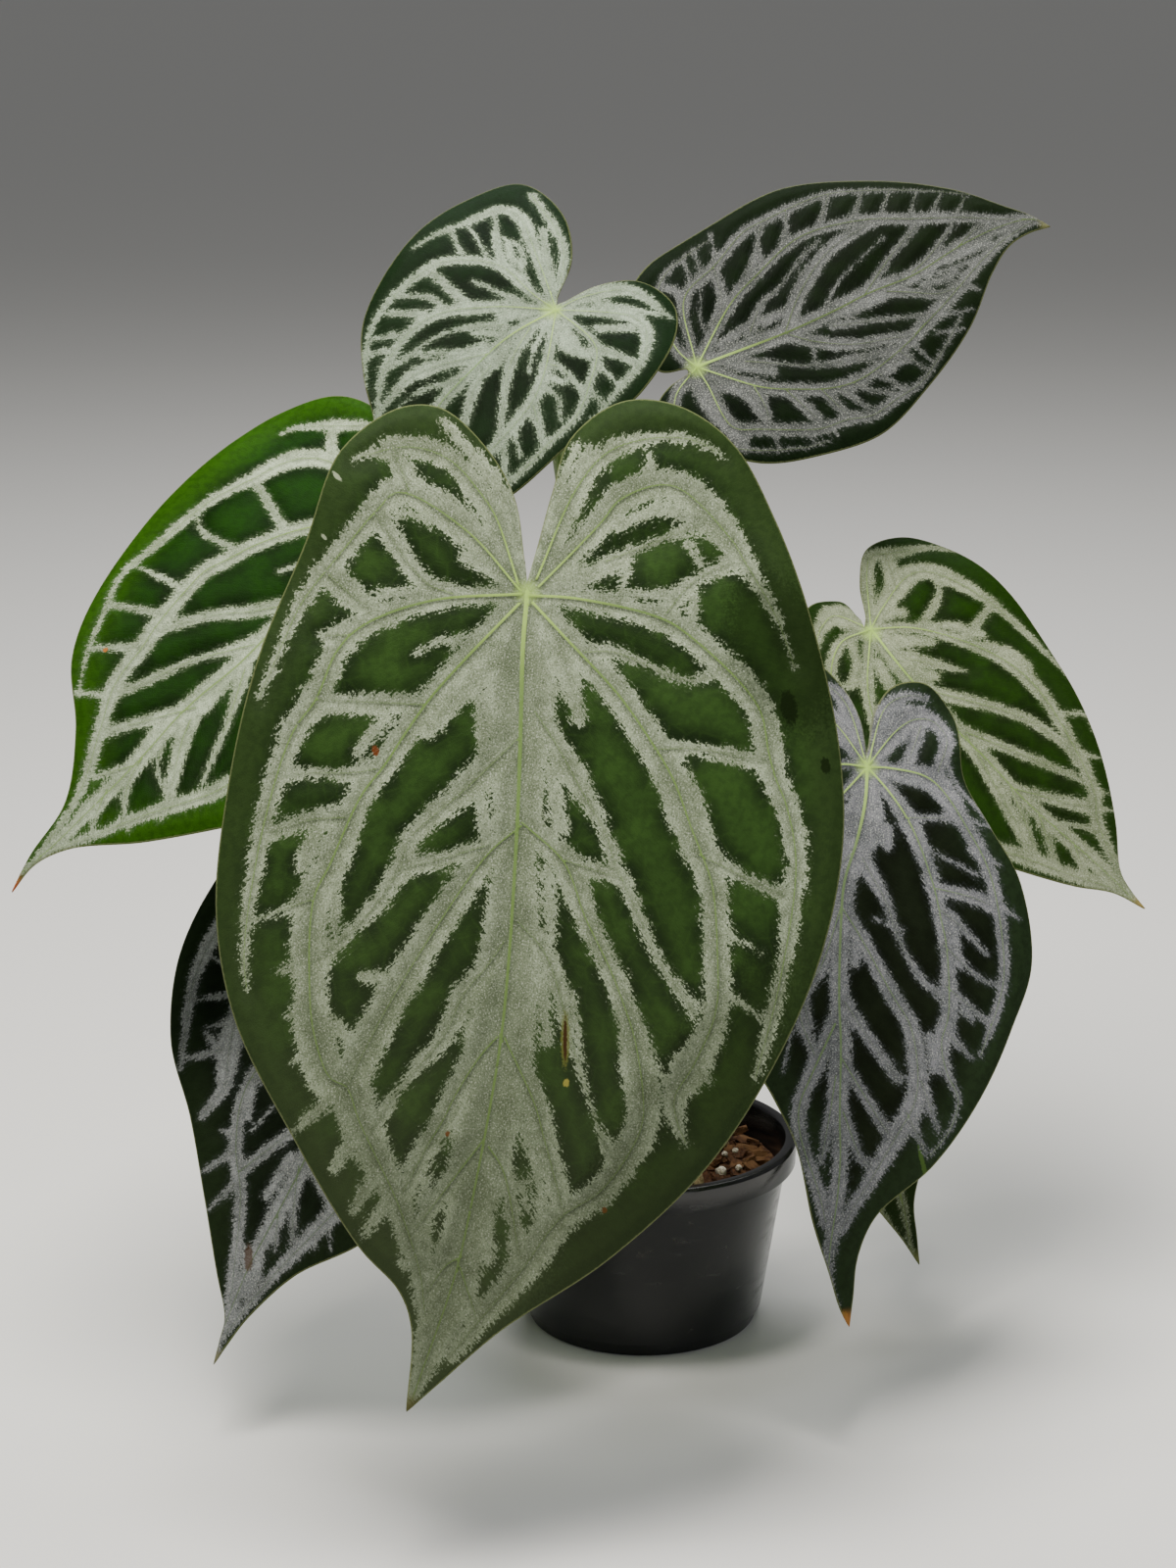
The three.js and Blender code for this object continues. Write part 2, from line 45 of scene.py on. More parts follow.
LONGEST_BLADE = 235.0
BLADE_THICKNESS = 0.9
VALLEY_SHARE = 0.06

# Each blade as the solid has it: where the stalk meets it, its tip, the way its upper face looks,
# the outline down each side as (along, across), and how it arches, rolls, waves and bends.
LEAVES = {
    "front": {
        "junction": (-36, -113, 274), "tip": (-70, -183, 52), "face": (0.03, -0.95, 0.3),
        "foot": (-1, -9),
        "left": [(-8, -2), (-27, -8), (-41, -19), (-50, -33), (-48, -45), (-33, -59), (-5, -65),
                 (30, -73), (69, -76), (104, -74), (133, -64), (164, -42), (191, -20), (202, -7),
                 (212, -2)],
        "right": [(-13, 1), (-30, 3), (-47, 6), (-60, 19), (-61, 35), (-52, 53), (-32, 68),
                  (-2, 83), (30, 95), (58, 100), (90, 98), (123, 89), (155, 74), (185, 50),
                  (209, 23), (226, 8)],
        "arch": 9, "swell": 0.18, "roll": 0.24, "wave": 1.6, "waves": 7, "tip_curl": 5, "bow": 9,
    },
    "top_left": {
        "junction": (-30, 5, 341), "tip": (-81, -27, 280), "face": (-0.11, -0.84, 0.53),
        "foot": (-1, 2),
        "left": [(-5, -2), (-21, -9), (-34, -24), (-36, -43), (-18, -52), (10, -53), (37, -47),
                 (54, -33), (64, -21), (75, -11)],
        "right": [(-5, 1), (-17, 5), (-27, 14), (-27, 27), (-14, 37), (7, 41), (32, 36), (60, 30),
                  (77, 18)],
        "arch": 7, "swell": 0.16, "roll": 0.2, "wave": 1.2, "waves": 6, "tip_curl": -4, "bow": 3,
    },
    "top_right": {
        "junction": (18, 65, 315), "tip": (145, 124, 358), "face": (0.17, -0.79, 0.59),
        "foot": (0, 13),
        "left": [(-3, -1), (-11, -2), (-19, -8), (-16, -23), (-1, -37), (20, -46), (44, -49),
                 (69, -40), (93, -27), (111, -12), (124, -4), (135, -1)],
        "right": [(-3, 1), (-12, 5), (-14, 19), (-9, 32), (5, 42), (31, 45), (61, 47), (93, 37),
                  (116, 24), (131, 12), (140, 6)],
        "arch": 8, "swell": 0.16, "roll": 0.22, "wave": 1.5, "waves": 7, "tip_curl": -3, "bow": 3,
    },
    "left": {
        "junction": (-84, -14, 272), "tip": (-197, -76, 175), "face": (-0.14, -0.75, 0.65),
        "foot": (-11, 4),
        "left": [(-7, -4), (-21, -13), (-32, -30), (-33, -46), (-27, -58), (-10, -66), (18, -63),
                 (48, -60), (77, -49), (98, -36), (113, -18), (132, -4), (150, -2)],
        "right": [(-3, 3), (-8, 14), (-4, 31), (13, 44), (35, 52), (63, 56), (89, 53), (104, 43),
                  (124, 26), (141, 7), (151, 1)],
        "arch": 10, "swell": 0.18, "roll": 0.24, "wave": 1.8, "waves": 7, "tip_curl": -4,
        "bow": -3,
    },
    "low_left": {
        "junction": (-85, -38, 144), "tip": (-135, -96, 24), "face": (-0.18, -0.85, 0.49),
        "foot": (-9, -6),
        "left": [(-4, -2), (-16, -12), (-24, -27), (-26, -45), (-19, -58), (3, -62), (29, -62),
                 (52, -53), (73, -35), (95, -21), (116, -9), (128, -2), (135, -1)],
        "right": [(-5, 0), (-16, 6), (-22, 18), (-17, 36), (1, 51), (25, 57), (50, 54), (73, 46),
                  (93, 31), (108, 15), (125, 5), (134, 2)],
        "arch": 8, "swell": 0.18, "roll": 0.24, "wave": 1.6, "waves": 6, "tip_curl": 4, "bow": 4,
    },
    "right": {
        "junction": (78, 52, 226), "tip": (167, 8, 140), "face": (0.2, -0.77, 0.6),
        "foot": (8, 11),
        "left": [(-6, 2), (-16, 3), (-21, -6), (-18, -18), (0, -36), (24, -44), (49, -45),
                 (72, -40), (94, -26), (110, -14), (121, -4)],
        "right": [(-5, 3), (-16, 12), (-24, 25), (-19, 41), (-5, 48), (23, 49), (52, 40),
                  (81, 27), (104, 13), (117, 3), (124, 1)],
        "arch": 8, "swell": 0.18, "roll": 0.22, "wave": 1.4, "waves": 6, "tip_curl": 4, "bow": 2,
    },
    "low_right": {
        "junction": (70, -33, 201), "tip": (61, -102, 40), "face": (0.18, -0.91, 0.38),
        "foot": (9, -4),
        "left": [(-5, 0), (-15, -2), (-27, -9), (-34, -18), (-28, -31), (-12, -41), (13, -48),
                 (41, -49), (68, -46), (92, -38), (107, -28), (121, -20), (144, -13), (159, -7),
                 (170, -3)],
        "right": [(-6, 1), (-20, 4), (-28, 10), (-29, 20), (-20, 29), (-2, 31), (17, 40),
                  (34, 50), (60, 55), (81, 48), (104, 37), (125, 23), (141, 7), (154, 2), (166, 1)],
        "arch": 10, "swell": 0.2, "roll": 0.26, "wave": 1.8, "waves": 8, "tip_curl": 6, "bow": 4,
    },
    "low_back": {
        "junction": (78, 34, 103), "tip": (92, -18, 23), "face": (0.18, -0.81, 0.56),
        "foot": (12, 4),
        "left": [(-4, 0), (-14, -2), (-20, -10), (-12, -20), (8, -27), (32, -27), (59, -22),
                 (77, -11), (88, -4)],
        "right": [(-4, 2), (-14, 10), (-19, 21), (-10, 29), (11, 27), (36, 21), (57, 10), (75, 2),
                  (87, 1)],
        "arch": 5, "swell": 0.16, "roll": 0.2, "wave": 1, "waves": 5, "tip_curl": 3, "bow": 1,
    },
}

# The veins of each blade: its kind, half the width of its silver band at even steps along it, and
# the few points that it runs through as (along, across).
VEINS = {
    "front": [
        ("midrib", (4.2, 10, 8.1, 6.6, 8.6, 10.1, 9.3, 6.7, 7.3, 1.3), [(0, 0), (16, 1), (33, 3),
            (50, 5), (69, 7), (105, 10), (125, 11), (139, 11), (167, 10), (195, 8), (222, 3),
            (232, 1)]),
        ("wisp", (4.1, 2.2), [(21, -6), (29, -12), (44, -22)]),
        ("wisp", (2.6, 1.7), [(33, -8), (50, -5)]),
        ("wisp", (1.5, 2.4), [(59, -5), (70, -2)]),
        ("wisp", (4.8, 1.6), [(12, 11), (35, 20)]),
        ("wisp", (2.5, 2.2), [(50, 14), (66, 19)]),
        ("wisp", (1.8, 1.8), [(78, 17), (97, 21)]),
        ("wisp", (4.2, 1.9), [(-6, -7), (-7, -19)]),
        ("wisp", (4.4, 1.5), [(-4, 6), (-6, 13), (-12, 26)]),
        ("wisp", (1.2, 1.8), [(7, -42), (5, -27)]),
        ("wisp", (1.2, 2, 0.8), [(-31, -39), (-27, -35), (-19, -19)]),
        ("wisp", (1.6, 1.3), [(-17, -40), (-17, -36), (-16, -31)]),
        ("wisp", (1, 2, 1), [(42, -51), (41, -35), (53, -41)]),
        ("wisp", (1.2, 1.8), [(61, -46), (60, -39)]),
        ("wisp", (2.2, 2.8, 1.7), [(77, -49), (88, -52)]),
        ("wisp", (1.4, 2.2, 1.4), [(90, -42), (104, -40)]),
        ("wisp", (1.5, 1.8), [(116, -30), (115, -24)]),
        ("wisp", (1.7, 2.2), [(130, -36), (133, -32)]),
        ("wisp", (2.1, 1.6), [(109, 20), (126, 24)]),
        ("wisp", (1.5, 1.2), [(113, 29), (130, 34)]),
        ("wisp", (2.4, 1.2), [(148, 20), (165, 27)]),
        ("wisp", (1.7, 1.9), [(167, 28), (178, 30)]),
        ("wisp", (1.4, 1.4), [(167, 23), (173, 25)]),
        ("wisp", (2, 2), [(170, -4), (192, -1)]),
        ("wisp", (1.4, 1.7), [(174, 15), (191, 17)]),
        ("wisp", (1.7, 1.8), [(-23, 23), (-30, 36), (-28, 43)]),
        ("wisp", (1.7, 1.4), [(-20, 44), (-16, 48)]),
        ("wisp", (1.2, 1.8), [(-3, 27), (-5, 41)]),
        ("wisp", (1.9, 1.6), [(-44, 12), (-31, 8)]),
        ("wisp", (1.9, 1.7), [(-9, 46), (-2, 48), (4, 48)]),
        ("basal", (2.6, 2.6, 3.8, 3.8, 3.2, 2.7, 1.8, 0.6), [(1, -2), (7, -27), (17, -45), (25, -51),
            (40, -55), (50, -60), (74, -64), (104, -65), (116, -64), (124, -62)]),
        ("basal", (4.3, 3.6, 3.6, 5.3, 5, 6.5, 3.7, 3), [(4, -2), (24, -16), (35, -23), (45, -28),
            (56, -33), (65, -38), (86, -44), (96, -47), (123, -44), (134, -41), (145, -35),
            (147, -30), (156, -25), (174, -13), (181, -9), (196, -2), (207, 1)]),
        ("lateral", (3.8, 5.4), [(67, 8), (76, 0), (102, -13), (126, -23), (147, -30)]),
        ("lateral", (5.6, 3.3, 3.8), [(127, 10), (133, 6), (144, 1), (153, -2), (160, -5), (174, -10)]),
        ("lateral", (3.8, 2.1), [(157, 10), (164, 6), (184, -5)]),
        ("lateral", (3.2, 2.7), [(190, 9), (193, 5), (201, 1)]),
        ("second", (2.4, 4.6, 2.8, 2.8, 2.2, 3.5), [(43, 3), (60, -10), (69, -18), (76, -23),
            (83, -24), (98, -31), (110, -41), (114, -45)]),
        ("second", (2.1, 2.1), [(74, -1), (81, -16), (84, -24)]),
        ("second", (2.5, 3.1, 2.9, 1.2, 2.9), [(100, 8), (108, 4), (116, -1), (129, -5), (145, -15),
            (160, -22)]),
        ("second", (2.6, 2.5), [(37, -25), (40, -55)]),
        ("second", (2.2, 0.9, 1.9), [(57, -35), (59, -41), (61, -54), (63, -61)]),
        ("second", (4.3, 2), [(72, -42), (74, -51), (79, -62)]),
        ("second", (3.8, 1, 0.8), [(96, -47), (105, -64)]),
        ("wisp", (2.6, 0.4), [(113, -45), (118, -54)]),
        ("wisp", (2.5, 0), [(126, -44), (130, -50)]),
        ("wisp", (3.2, 0.1), [(137, -40), (142, -46)]),
        ("wisp", (2.7, 0.5), [(149, -33), (162, -43)]),
        ("wisp", (2.8, 1.4), [(158, -25), (170, -30)]),
        ("wisp", (2.3, 0.9), [(169, -18), (181, -23)]),
        ("wisp", (1.8, 0.7), [(177, -13), (187, -19)]),
        ("wisp", (2.2, 1.4), [(190, -4), (194, -7)]),
        ("lobe", (4.1, 4.7, 4.4, 3.6, 1.8, 0.7), [(0, -2), (-15, -20), (-23, -41), (-17, -46),
            (-4, -54), (12, -63), (22, -66), (42, -71)]),
        ("second", (3.7, 4.3), [(3, -58), (9, -49), (12, -44)]),
        ("lobe", (3.8, 4.7, 3.2, 3.5, 0.6), [(-2, -3), (-20, -12), (-26, -17), (-35, -28), (-37, -40),
            (-31, -55)]),
        ("wisp", (3.5, 1.2), [(-12, -4), (-26, -10), (-46, -31)]),
        ("second", (3.5, 3.1), [(-24, -38), (-37, -45)]),
        ("second", (2.4, 2.5, 3.7), [(4, -21), (2, -29), (-16, -47)]),
        ("second", (3.4, 3.2, 0.9), [(20, -48), (22, -57)]),
        ("wisp", (3.4, 1.7), [(39, -54), (39, -58)]),
        ("wisp", (1.1, 0.4), [(17, -17), (18, -22), (23, -29)]),
        ("basal", (2.7, 4.5, 3.5, 1), [(1, 1), (0, 14), (2, 38), (5, 46), (23, 70), (36, 75),
            (43, 78), (50, 82), (66, 87), (100, 87), (128, 84)]),
        ("basal", (3.9, 4.3, 4.3, 5, 5.6, 3.9, 3.6, 4.2, 5.3, 1), [(3, 2), (12, 13), (26, 30),
            (39, 42), (48, 49), (61, 56), (68, 60), (76, 64), (94, 68), (111, 70), (127, 66),
            (137, 62), (144, 64), (149, 67)]),
        ("lateral", (3, 4, 3, 3.3, 5.1, 4.5, 3.8, 4.9, 3.9, 2.3), [(66, 8), (75, 21), (81, 25),
            (89, 29), (104, 39), (113, 44), (121, 48), (137, 53), (145, 54), (153, 52), (166, 45),
            (175, 35), (190, 27), (200, 21), (218, 10)]),
        ("lateral", (3.8, 3.5), [(127, 12), (144, 23), (153, 27), (174, 36)]),
        ("lateral", (3.8, 2, 2.7), [(158, 12), (164, 17), (187, 25)]),
        ("lateral", (3.3, 2.2), [(193, 9), (207, 16)]),
        ("second", (2.4, 3.6, 1.9, 1.8, 1.3, 2.1), [(34, 7), (42, 14), (54, 23), (66, 32), (74, 36),
            (82, 41), (96, 50), (103, 55), (112, 64)]),
        ("second", (2, 2.1), [(75, 22), (78, 39)]),
        ("second", (2.9, 3.2, 2, 1.5, 0.3, 2.3), [(94, 11), (102, 20), (130, 33), (138, 37),
            (152, 44), (158, 49)]),
        ("second", (2.9, 1.6, 2.5), [(40, 42), (38, 55), (39, 74)]),
        ("second", (3.2, 1.1, 2.2), [(68, 59), (70, 66), (72, 72), (76, 85)]),
        ("wisp", (1.9, 0.1), [(88, 68), (93, 81)]),
        ("wisp", (1.9, 0.1), [(105, 70), (111, 84)]),
        ("wisp", (3.8, 0.4), [(127, 64), (131, 71)]),
        ("second", (2.9, 0.8, 0.9), [(15, 19), (14, 27), (19, 49), (17, 55)]),
        ("second", (2.8, 1.8, 2.7), [(1, 40), (-10, 47), (-17, 57)]),
        ("lobe", (4, 3.8, 4.9, 5.4, 1.2, 0.6), [(-2, 3), (-13, 11), (-23, 18), (-31, 23), (-37, 37),
            (-24, 56), (-19, 60), (-3, 72), (10, 79)]),
        ("lobe", (4.2, 3.2, 0.1), [(-4, 2), (-33, 10), (-45, 18), (-51, 33), (-51, 43), (-48, 50)]),
        ("wisp", (2.8, 2.8, 0.8), [(-10, 0), (-19, 1), (-45, 8)]),
        ("wisp", (0.9, 3.5), [(-45, 29), (-38, 31)]),
        ("second", (1.4, 0.5, 2.1), [(-12, 21), (-23, 40), (-27, 47)]),
        ("wisp", (0.8, 1.3), [(-17, 27), (-5, 27)]),
    ],
    "top_left": [
        ("midrib", (2.1, 2.1, 0.9), [(-1, 1), (16, -4), (35, -6), (47, -7), (66, -5), (84, -1)]),
        ("basal", (1.6, 2.5, 1.5, 1), [(-1, 1), (12, -16), (27, -29), (48, -29), (64, -20)]),
        ("lobe", (1.7, 1.8, 0.3), [(-1, 1), (-1, -8), (-3, -24), (7, -39), (12, -41), (29, -44),
            (40, -42), (51, -35), (58, -29)]),
        ("second", (1.4, 1.7), [(12, -39), (15, -23)]),
        ("second", (0.5, 1.2), [(26, -44), (20, -34), (20, -29)]),
        ("second", (1, 1.8), [(32, -42), (26, -31)]),
        ("second", (0.3, 1.3), [(42, -39), (37, -34)]),
        ("second", (0.7, 0.7), [(48, -37), (43, -33)]),
        ("lobe", (1.5, 2.6, 0.3), [(-1, 1), (-13, -16), (-24, -34), (-22, -40), (-11, -44), (-1, -48),
            (8, -50)]),
        ("second", (0.9, 2), [(-19, -39), (-5, -24), (-2, -13)]),
        ("second", (0.6, 0.9), [(-6, -47), (0, -37)]),
        ("wisp", (0.3, 0.6), [(-10, -42), (-4, -30)]),
        ("lobe", (1.4, 1.5), [(-34, -36), (-23, -14), (-9, -4)]),
        ("second", (1, 1.6), [(-24, -23), (-5, -4)]),
        ("wisp", (0.6, 0.8), [(-13, -29), (-13, -23), (-4, -15)]),
        ("second", (0.3, 1.5), [(7, -26), (4, -10)]),
        ("second", (1.6, 0.6, 1), [(14, -8), (25, -19), (35, -24), (38, -24), (49, -29)]),
        ("lateral", (1.9, 2.5, 0.7), [(25, -5), (30, -9), (46, -20), (62, -21)]),
        ("wisp", (0.7, 0.7), [(38, -24), (38, -20)]),
        ("second", (1.1, 0.3), [(36, -6), (51, -16), (57, -17)]),
        ("basal", (1.7, 2.2, 0.9), [(-1, 1), (22, 14), (34, 17), (64, 13), (77, 6)]),
        ("basal", (1.5, 0.8), [(-1, 1), (3, 20), (15, 27), (27, 31), (40, 30), (57, 27), (70, 18),
            (81, 5)]),
        ("lobe", (1.6, 2.6, 1.3, 0.4), [(-1, 1), (-12, 17), (-14, 21), (-13, 27), (-3, 34), (11, 35),
            (27, 36)]),
        ("lobe", (1.5, 3.4, 2.1, 0.4), [(-1, 1), (-10, 4), (-22, 14), (-22, 30)]),
        ("wisp", (1.6, 0.9), [(-11, 10), (-20, 26)]),
        ("second", (1.5, 1.5), [(-3, 16), (-10, 24)]),
        ("second", (1.8, 1.4), [(3, 21), (0, 33)]),
        ("wisp", (0.6, 0.5), [(8, 26), (10, 34)]),
        ("second", (0.7, 0.3), [(17, 29), (19, 37)]),
        ("lateral", (1.2, 1.1), [(17, 13), (16, 16), (19, 28)]),
        ("second", (1.1, 0.4), [(25, 16), (25, 22), (31, 28)]),
        ("lateral", (1.6, 1.3), [(32, 18), (40, 28)]),
        ("wisp", (0.9, 0.3), [(42, 18), (48, 25)]),
        ("second", (0.9, 0.9), [(48, 18), (57, 26)]),
        ("lateral", (2.1, 0.9), [(10, -1), (23, 2), (46, 15)]),
        ("lateral", (1.6, 1.6), [(28, -2), (35, -2), (49, 3)]),
        ("wisp", (0.5, 0.2), [(15, 5), (23, 9)]),
        ("wisp", (2.1, 3.8, 1.7), [(3, 7), (7, 12), (8, 16), (7, 20)]),
        ("wisp", (1.5, 0.9), [(5, 2), (15, 5)]),
        ("wisp", (1.5, 2.7, 2.2), [(4, -4), (12, -10)]),
        ("wisp", (1.8, 1.1), [(17, -6), (22, -13)]),
        ("wisp", (0.8, 1.3), [(36, -20), (30, -12), (24, -8)]),
        ("wisp", (1.6, 1.2), [(20, -2), (26, -1)]),
        ("wisp", (1.2, 1.1), [(-12, -27), (-8, -23), (-8, -19)]),
        ("wisp", (1.4, 1.4), [(21, 16), (20, 20)]),
    ],
    "top_right": [
        ("midrib", (2.5, 3.6, 3.2, 3.4, 3, 2.4, 2.9, 1.2), [(0, 0), (32, -3), (51, -3), (66, -2),
            (84, -2), (105, 2), (121, 4), (139, 4), (147, 1)]),
        ("basal", (2.4, 1.7, 2.6, 1.7), [(0, 0), (21, 15), (33, 20), (55, 27), (79, 24), (95, 18),
            (113, 12), (127, 7), (141, 4)]),
        ("lateral", (1.8, 3.1, 2.4, 2), [(32, -3), (44, 8), (61, 18), (81, 22)]),
        ("lateral", (1.6, 1.1), [(64, -2), (81, 8), (96, 15)]),
        ("lateral", (1.3, 0.9), [(84, -1), (92, 2), (108, 10)]),
        ("lateral", (1, 1), [(105, 2), (117, 7)]),
        ("second", (1.8, 0.5, 0.7), [(22, 3), (30, 10), (39, 13), (52, 20), (60, 23)]),
        ("wisp", (0.6, 0.4), [(51, 1), (58, 6), (82, 15)]),
        ("lobe", (1.7, 2.1, 0), [(0, 0), (8, 24), (23, 30), (38, 37), (47, 38), (71, 39), (86, 35),
            (112, 24), (122, 19)]),
        ("lobe", (2.6, 0.2), [(0, 0), (-3, 9), (-1, 27), (8, 36), (26, 40)]),
        ("second", (2, 1.8), [(22, 29), (18, 16), (12, 11)]),
        ("second", (0.8, 1.3), [(45, 37), (40, 31), (37, 22)]),
        ("second", (0.8, 1.2), [(56, 39), (52, 32), (48, 27)]),
        ("second", (0.6, 1), [(73, 38), (63, 28)]),
        ("second", (0.5, 1), [(86, 35), (74, 25)]),
        ("second", (0.5, 0.8), [(94, 31), (85, 23)]),
        ("second", (0.5, 0.7), [(103, 27), (95, 19)]),
        ("second", (0.3, 0.7), [(111, 23), (102, 16)]),
        ("second", (0.3, 0.7), [(119, 19), (111, 13)]),
        ("wisp", (0.5, 0.6), [(15, 37), (12, 27)]),
        ("wisp", (0.4, 0.6), [(20, 39), (17, 29)]),
        ("wisp", (0.5, 0.6), [(28, 42), (23, 30)]),
        ("wisp", (0.2, 0.8), [(16, 26), (9, 15), (8, 8)]),
        ("basal", (2.7, 2.3, 2.7, 1.1), [(0, 0), (15, -17), (25, -23), (37, -28), (48, -29),
            (69, -24), (79, -20), (89, -16), (113, -5), (127, 0), (140, 3)]),
        ("lateral", (2.8, 1.7), [(32, -3), (39, -10), (51, -17), (63, -20), (72, -22), (78, -20)]),
        ("lateral", (2.6, 0.7), [(72, -4), (80, -8), (88, -12), (99, -13), (103, -16)]),
        ("second", (1.6, 0.5), [(48, -8), (82, -18)]),
        ("second", (2.2, 0.3, 1.6, 1.7), [(15, -6), (35, -18), (55, -23), (62, -24)]),
        ("wisp", (0.7, 0.7), [(38, -11), (36, -17)]),
        ("wisp", (0.6, 1), [(88, -5), (110, -5)]),
        ("lobe", (2.1, 2.2, 0.6), [(0, 0), (0, -7), (0, -25), (8, -30), (26, -39), (36, -40),
            (45, -42), (56, -40), (67, -38), (73, -35), (81, -30), (91, -23)]),
        ("lobe", (2.9, 0.8, 0.4), [(0, 0), (-11, -6), (-15, -14), (-12, -25), (18, -42), (27, -44)]),
        ("lateral", (1.9, 0.9), [(13, -16), (13, -24), (12, -29)]),
        ("lateral", (1.8, 2.2), [(22, -22), (27, -36)]),
        ("lateral", (1.9, 1.9), [(33, -27), (37, -39)]),
        ("second", (1.4, 0.6), [(39, -29), (46, -41)]),
        ("second", (1, 0.6), [(44, -29), (49, -34), (57, -38)]),
        ("second", (1.1, 0.5), [(54, -29), (56, -33), (60, -37)]),
        ("second", (1.3, 0.4), [(65, -26), (71, -35)]),
        ("wisp", (1, 0.4), [(70, -25), (74, -33)]),
        ("wisp", (0.7, 0.7), [(4, -28), (1, -33)]),
        ("wisp", (0.6, 0.6), [(12, -33), (11, -38)]),
        ("wisp", (0.7, 0.5), [(21, -36), (22, -41)]),
        ("wisp", (0.7, 0.3), [(31, -39), (30, -44)]),
        ("wisp", (0.6, 0.2), [(80, -25), (91, -27)]),
        ("wisp", (0.7, 0.2), [(87, -20), (97, -22)]),
        ("wisp", (3.7, 2.8), [(-2, -7), (-3, -15), (0, -30)]),
        ("wisp", (2.1, 1.3), [(3, -10), (8, -16), (11, -27)]),
        ("wisp", (2, 1.6), [(10, -5), (21, -14)]),
        ("wisp", (1.7, 1.7), [(55, -6), (69, -6)]),
        ("wisp", (1.3, 2), [(98, -2), (117, 0)]),
        ("wisp", (1.6, 1.5), [(85, -7), (92, -8), (99, -7)]),
        ("wisp", (2.2, 1.5), [(11, 3), (21, 5)]),
        ("wisp", (2.2, 1.5), [(28, 4), (37, 4)]),
        ("wisp", (1.8, 1.5), [(5, 30), (7, 27), (7, 22)]),
        ("wisp", (1.4, 1.1), [(37, 27), (32, 22), (25, 19)]),
        ("wisp", (1.7, 1.4), [(58, -30), (67, -29)]),
    ],
    "left": [
        ("midrib", (2.2, 3.6, 3.4, 2.9, 2.9, 0.2), [(0, 0), (22, 2), (39, 3), (51, 4), (65, 5),
            (80, 4), (90, 4), (103, 5), (117, 5), (141, 3), (160, -2)]),
        ("basal", (2.6, 3, 1), [(0, 0), (7, -11), (14, -17), (31, -24), (40, -26), (49, -28),
            (57, -27), (73, -24), (80, -22), (95, -19), (108, -12), (128, -2), (148, 1)]),
        ("lateral", (2.9, 1.5), [(28, 4), (41, -2), (50, -8), (56, -13), (68, -20), (73, -22)]),
        ("lateral", (3.3, 1.1, 1.4, 1.3), [(56, 3), (72, -7), (91, -14), (96, -17)]),
        ("lateral", (2.6, 1.5), [(83, 6), (102, -7), (108, -10)]),
        ("lateral", (1.6, 0.9), [(109, 5), (119, -2)]),
        ("lobe", (1.9, 2.1, 4.4, 2.2, 1.9, 1.3, 0.7, 0.3), [(0, 0), (-4, -13), (-7, -24), (-8, -33),
            (-3, -41), (4, -44), (13, -45), (21, -47), (29, -49), (54, -49), (68, -48), (80, -41),
            (93, -34), (104, -26)]),
        ("lobe", (1.6, 1.5, 1.7, 2.9, 0.8), [(0, 0), (-15, -12), (-26, -27), (-27, -36), (-22, -42),
            (-10, -55), (-6, -56)]),
        ("second", (1.4, 2.2), [(-20, -46), (-13, -39), (-9, -33)]),
        ("second", (1.2, 1.6), [(15, -45), (16, -39), (21, -21)]),
        ("second", (0.7, 1.2), [(36, -48), (39, -41), (37, -29)]),
        ("wisp", (0.2, 1.2), [(62, -47), (58, -27)]),
        ("second", (1, 1.6), [(77, -41), (67, -24)]),
        ("second", (0.6, 1.7), [(92, -34), (80, -22)]),
        ("wisp", (0.5, 1.1), [(105, -26), (99, -18)]),
        ("wisp", (0.7, 0.3), [(25, -8), (33, -11)]),
        ("lateral", (2.9, 1, 1), [(64, 8), (80, 18), (99, 27)]),
        ("lateral", (3.3, 1.5), [(87, 8), (93, 11), (110, 23)]),
        ("lateral", (2.2, 0.7), [(104, 5), (114, 8), (124, 16)]),
        ("lateral", (1.7, 0.9), [(120, 4), (127, 7), (132, 10)]),
        ("second", (0.6, 0.5), [(100, 8), (105, 12), (108, 19)]),
        ("basal", (1.9, 1.6, 2.9, 0.9), [(0, 0), (22, 19), (51, 31), (72, 36), (97, 33), (103, 30),
            (120, 19), (132, 12), (145, 3)]),
        ("basal", (1.6, 0.4), [(0, 0), (8, 23), (29, 42), (56, 49), (80, 48), (94, 46)]),
        ("lobe", (1.8, 0.2), [(0, 0), (-4, 14), (1, 30), (14, 43), (33, 50)]),
        ("second", (1.4, 0.7), [(51, 31), (43, 35), (33, 43)]),
        ("second", (1.5, 0.7), [(22, 19), (16, 23), (13, 29)]),
        ("wisp", (1, 0.3), [(112, 23), (116, 26)]),
        ("wisp", (1, 0.3), [(122, 18), (125, 20)]),
        ("wisp", (2.9, 2.9), [(75, 7), (81, 8)]),
        ("wisp", (1.7, 1.7), [(95, 1), (107, 5)]),
    ],
    "low_left": [
        ("midrib", (2.2, 3.1, 3, 0.8), [(0, 0), (19, 4), (39, 6), (76, 5), (98, 2), (111, 0),
            (131, -1), (140, 0)]),
        ("basal", (2.2, 1.9), [(0, 0), (13, -8), (27, -13), (41, -17), (60, -21), (77, -17),
            (91, -10), (114, -4), (123, -2)]),
        ("lobe", (2, 2, 2.4, 4.3, 1.3), [(0, 0), (1, -13), (7, -24), (18, -31), (31, -34), (47, -32),
            (61, -28), (72, -31)]),
        ("lobe", (1.5, 1.6, 2.9, 0.8), [(0, 0), (-12, -14), (-15, -29), (-11, -44), (1, -51),
            (14, -53), (27, -54), (35, -53), (54, -47), (60, -45)]),
        ("second", (1.2, 0.5), [(19, -36), (23, -42), (23, -51)]),
        ("second", (1.7, 0.6), [(31, -36), (38, -51)]),
        ("second", (1.2, 0.5), [(50, -33), (57, -45)]),
